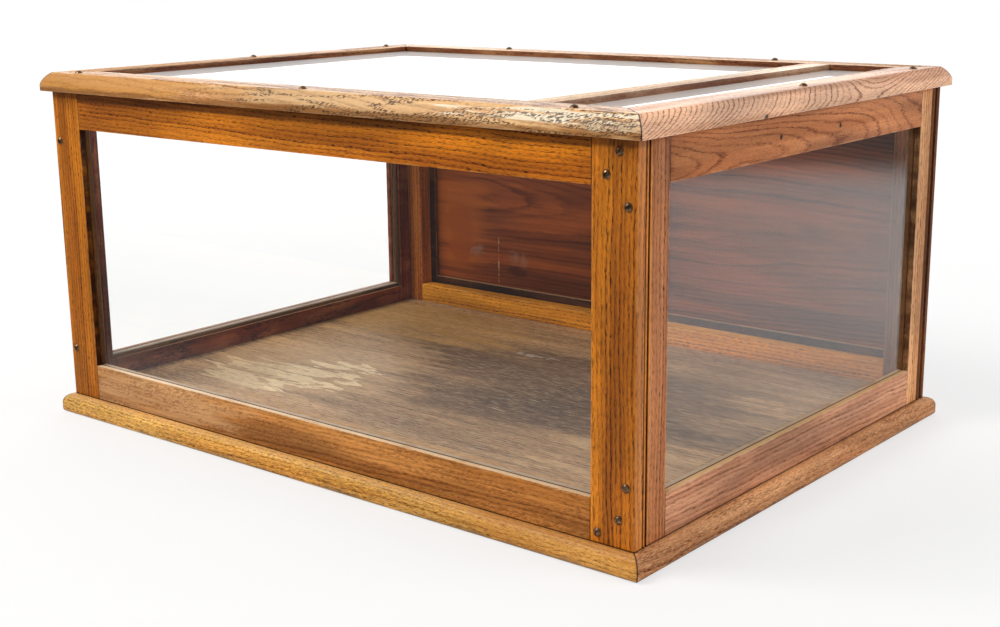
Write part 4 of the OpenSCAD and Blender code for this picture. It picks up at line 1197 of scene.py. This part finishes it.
FLOOR_RADIUS = 7  # metres
FLOOR_GREY = 0.86
FLOOR_GLOW = 1.04
FLOOR_BY_GLASS, SKY_BY_GLASS = 0.3, 0.36  # added where a pane takes light away
WHITE_NEAR, WHITE_FROM, WHITE_AT = 0.58, 0.6, 2.2  # share of glow by the case, then metres
MIRROR_GREY = 0.14  # the floor as it shows in the panes, away from the lit place
LIT_PLACE, LIT_FROM, LIT_TO = (0.55, 0.65, 0.0), 1.1, 1.7  # metres
SKY_LEVEL = 0.52
DARK_HEADING, BRIGHT_HEADING, DARK_LEVEL = -0.3, 0.8, 0.2  # of the mirrored backdrop

LAMPS = {
    # name: place, aim, width, height, power, tint
    "key_lamp": ((-1.7, -2.1, 3.1), (0, 0, 0.2), 2.0, 2.0, 98, (1.0, 0.985, 0.96)),
    "side_lamp": ((2.8, 1.1, 1.5), (0.2, 0, 0.2), 1.8, 1.4, 30, (1.0, 1.0, 1.0)),
    "window_lamp": ((-2.1, 2.5, 0.95), (0, 0, 0.3), 3.4, 1.5, 36, (0.98, 0.99, 1.0)),
}

CAMERA_PLACE = (1.0, -1.2143, 0.488)
CAMERA_ANGLES = (39.422, 13.569, -0.626)  # turn, lift and roll, in degrees
CAMERA_LENS, CAMERA_SENSOR = 54.194, 36  # mm
CAMERA_CLIP = (0.05, 60)


def seen_straight(tree):
    """The light path, then masks of what is seen through glass, and of all that isn't mirrored."""
    path = node(tree, "ShaderNodeLightPath").outputs
    mirrored = calc(tree, "MINIMUM", path["Glossy Depth"], 1.0)
    straight = calc(tree, "SUBTRACT", 1.0, mirrored)
    through = calc(tree, "MULTIPLY", path["Is Transmission Ray"], straight)
    return path, through, calc(tree, "MAXIMUM", path["Is Camera Ray"], through)


def glowing(tree, level, strength):
    made = node(tree, "ShaderNodeEmission")
    feed_in_turn(tree, made.inputs, ((level, level, level, 1.0), strength))
    return made.outputs[0]


def studio_floor():
    """A pale floor that goes over into white, and that the panes mirror only in part."""
    bpy.ops.object.select_all(action="DESELECT")
    bpy.ops.mesh.primitive_circle_add(
        vertices=128, radius=FLOOR_RADIUS, fill_type="NGON", location=(0, 0, 0)
    )
    floor = bpy.context.object
    floor.name = "studio_floor"
    material, tree, shader, surface, coords = new_finish("studio_floor")
    shader.inputs["Base Color"].default_value = (FLOOR_GREY, FLOOR_GREY, FLOOR_GREY, 1.0)
    shader.inputs["Roughness"].default_value = 0.8
    path, through, seen = seen_straight(tree)
    glow = glowing(tree, 1.0, calc(tree, "MULTIPLY_ADD", through, FLOOR_BY_GLASS, FLOOR_GLOW))
    distance = vector_calc(tree, "LENGTH", coords)
    white = rise(tree, distance, WHITE_FROM, WHITE_AT, WHITE_NEAR, 1.0)
    ground = shader_blend(tree, calc(tree, "MULTIPLY", seen, white), shader.outputs[0], glow)
    away = rise(tree, vector_calc(tree, "DISTANCE", coords, LIT_PLACE), LIT_FROM, LIT_TO)
    away = calc(tree, "MULTIPLY", away, calc(tree, "SUBTRACT", 1.0, seen))
    mirrored = calc(tree, "MULTIPLY", path["Is Glossy Ray"], away)
    dim = glowing(tree, MIRROR_GREY, 1.0)
    feed(tree, surface, shader_blend(tree, mirrored, ground, dim))
    floor.data.materials.append(material)


def studio_world():
    """A white backdrop, softer as a light, which is mirrored darker towards the front."""
    world = bpy.data.worlds.new("studio_world")
    bpy.context.scene.world = world
    world.use_nodes = True
    tree = world.node_tree
    tree.nodes.clear()
    path, through, seen = seen_straight(tree)
    sky = node(tree, "ShaderNodeBackground")
    sky.inputs[0].default_value = (1.0, 1.0, 1.0, 1.0)
    heading = split(tree, node(tree, "ShaderNodeTexCoord").outputs["Generated"])[Y]
    backdrop = rise(tree, heading, DARK_HEADING, BRIGHT_HEADING, DARK_LEVEL, 1.0)
    level = calc(tree, "MULTIPLY_ADD", seen, 1.0 - SKY_LEVEL, SKY_LEVEL)
    level = calc(tree, "MULTIPLY_ADD", through, SKY_BY_GLASS, level)
    change = calc(tree, "SUBTRACT", backdrop, SKY_LEVEL)
    mirrored = calc(tree, "MULTIPLY", path["Is Glossy Ray"], calc(tree, "SUBTRACT", 1.0, seen))
    feed(tree, sky.inputs[1], calc(tree, "MULTIPLY_ADD", mirrored, change, level))
    tree.links.new(sky.outputs[0], node(tree, "ShaderNodeOutputWorld").inputs[0])


def soft_lamp(name, place, aim, width, height, power, tint):
    lamp = bpy.data.lights.new(name, "AREA")
    lamp.shape = "RECTANGLE"
    lamp.size = width
    lamp.size_y = height
    lamp.energy = power
    lamp.color = tint
    thing = bpy.data.objects.new(name, lamp)
    bpy.context.scene.collection.objects.link(thing)
    thing.location = place
    thing.rotation_euler = (Vector(aim) - Vector(place)).to_track_quat("-Z", "Y").to_euler()
    thing.visible_camera = False


def photo_camera():
    """The camera at the photograph's viewing angle and lens."""
    turn, lift, roll = (math.radians(v) for v in CAMERA_ANGLES)
    level = math.cos(lift)
    back = Vector((math.sin(turn) * level, -math.cos(turn) * level, math.sin(lift)))
    right = (-back).cross(Vector(UP)).normalized()
    up = right.cross(-back)
    rolled_right = right * math.cos(roll) + up * math.sin(roll)
    rolled_up = up * math.cos(roll) - right * math.sin(roll)
    camera = bpy.data.objects.new("camera", bpy.data.cameras.new("camera"))
    bpy.context.scene.collection.objects.link(camera)
    camera.data.sensor_width = CAMERA_SENSOR
    camera.data.lens = CAMERA_LENS
    camera.data.clip_start, camera.data.clip_end = CAMERA_CLIP
    turned = Matrix((rolled_right, rolled_up, back)).transposed()
    camera.matrix_world = Matrix.Translation(CAMERA_PLACE) @ turned.to_4x4()
    bpy.context.scene.camera = camera


studio_floor()
studio_world()
for lamp_name, settings in LAMPS.items():
    soft_lamp(lamp_name, *settings)
photo_camera()
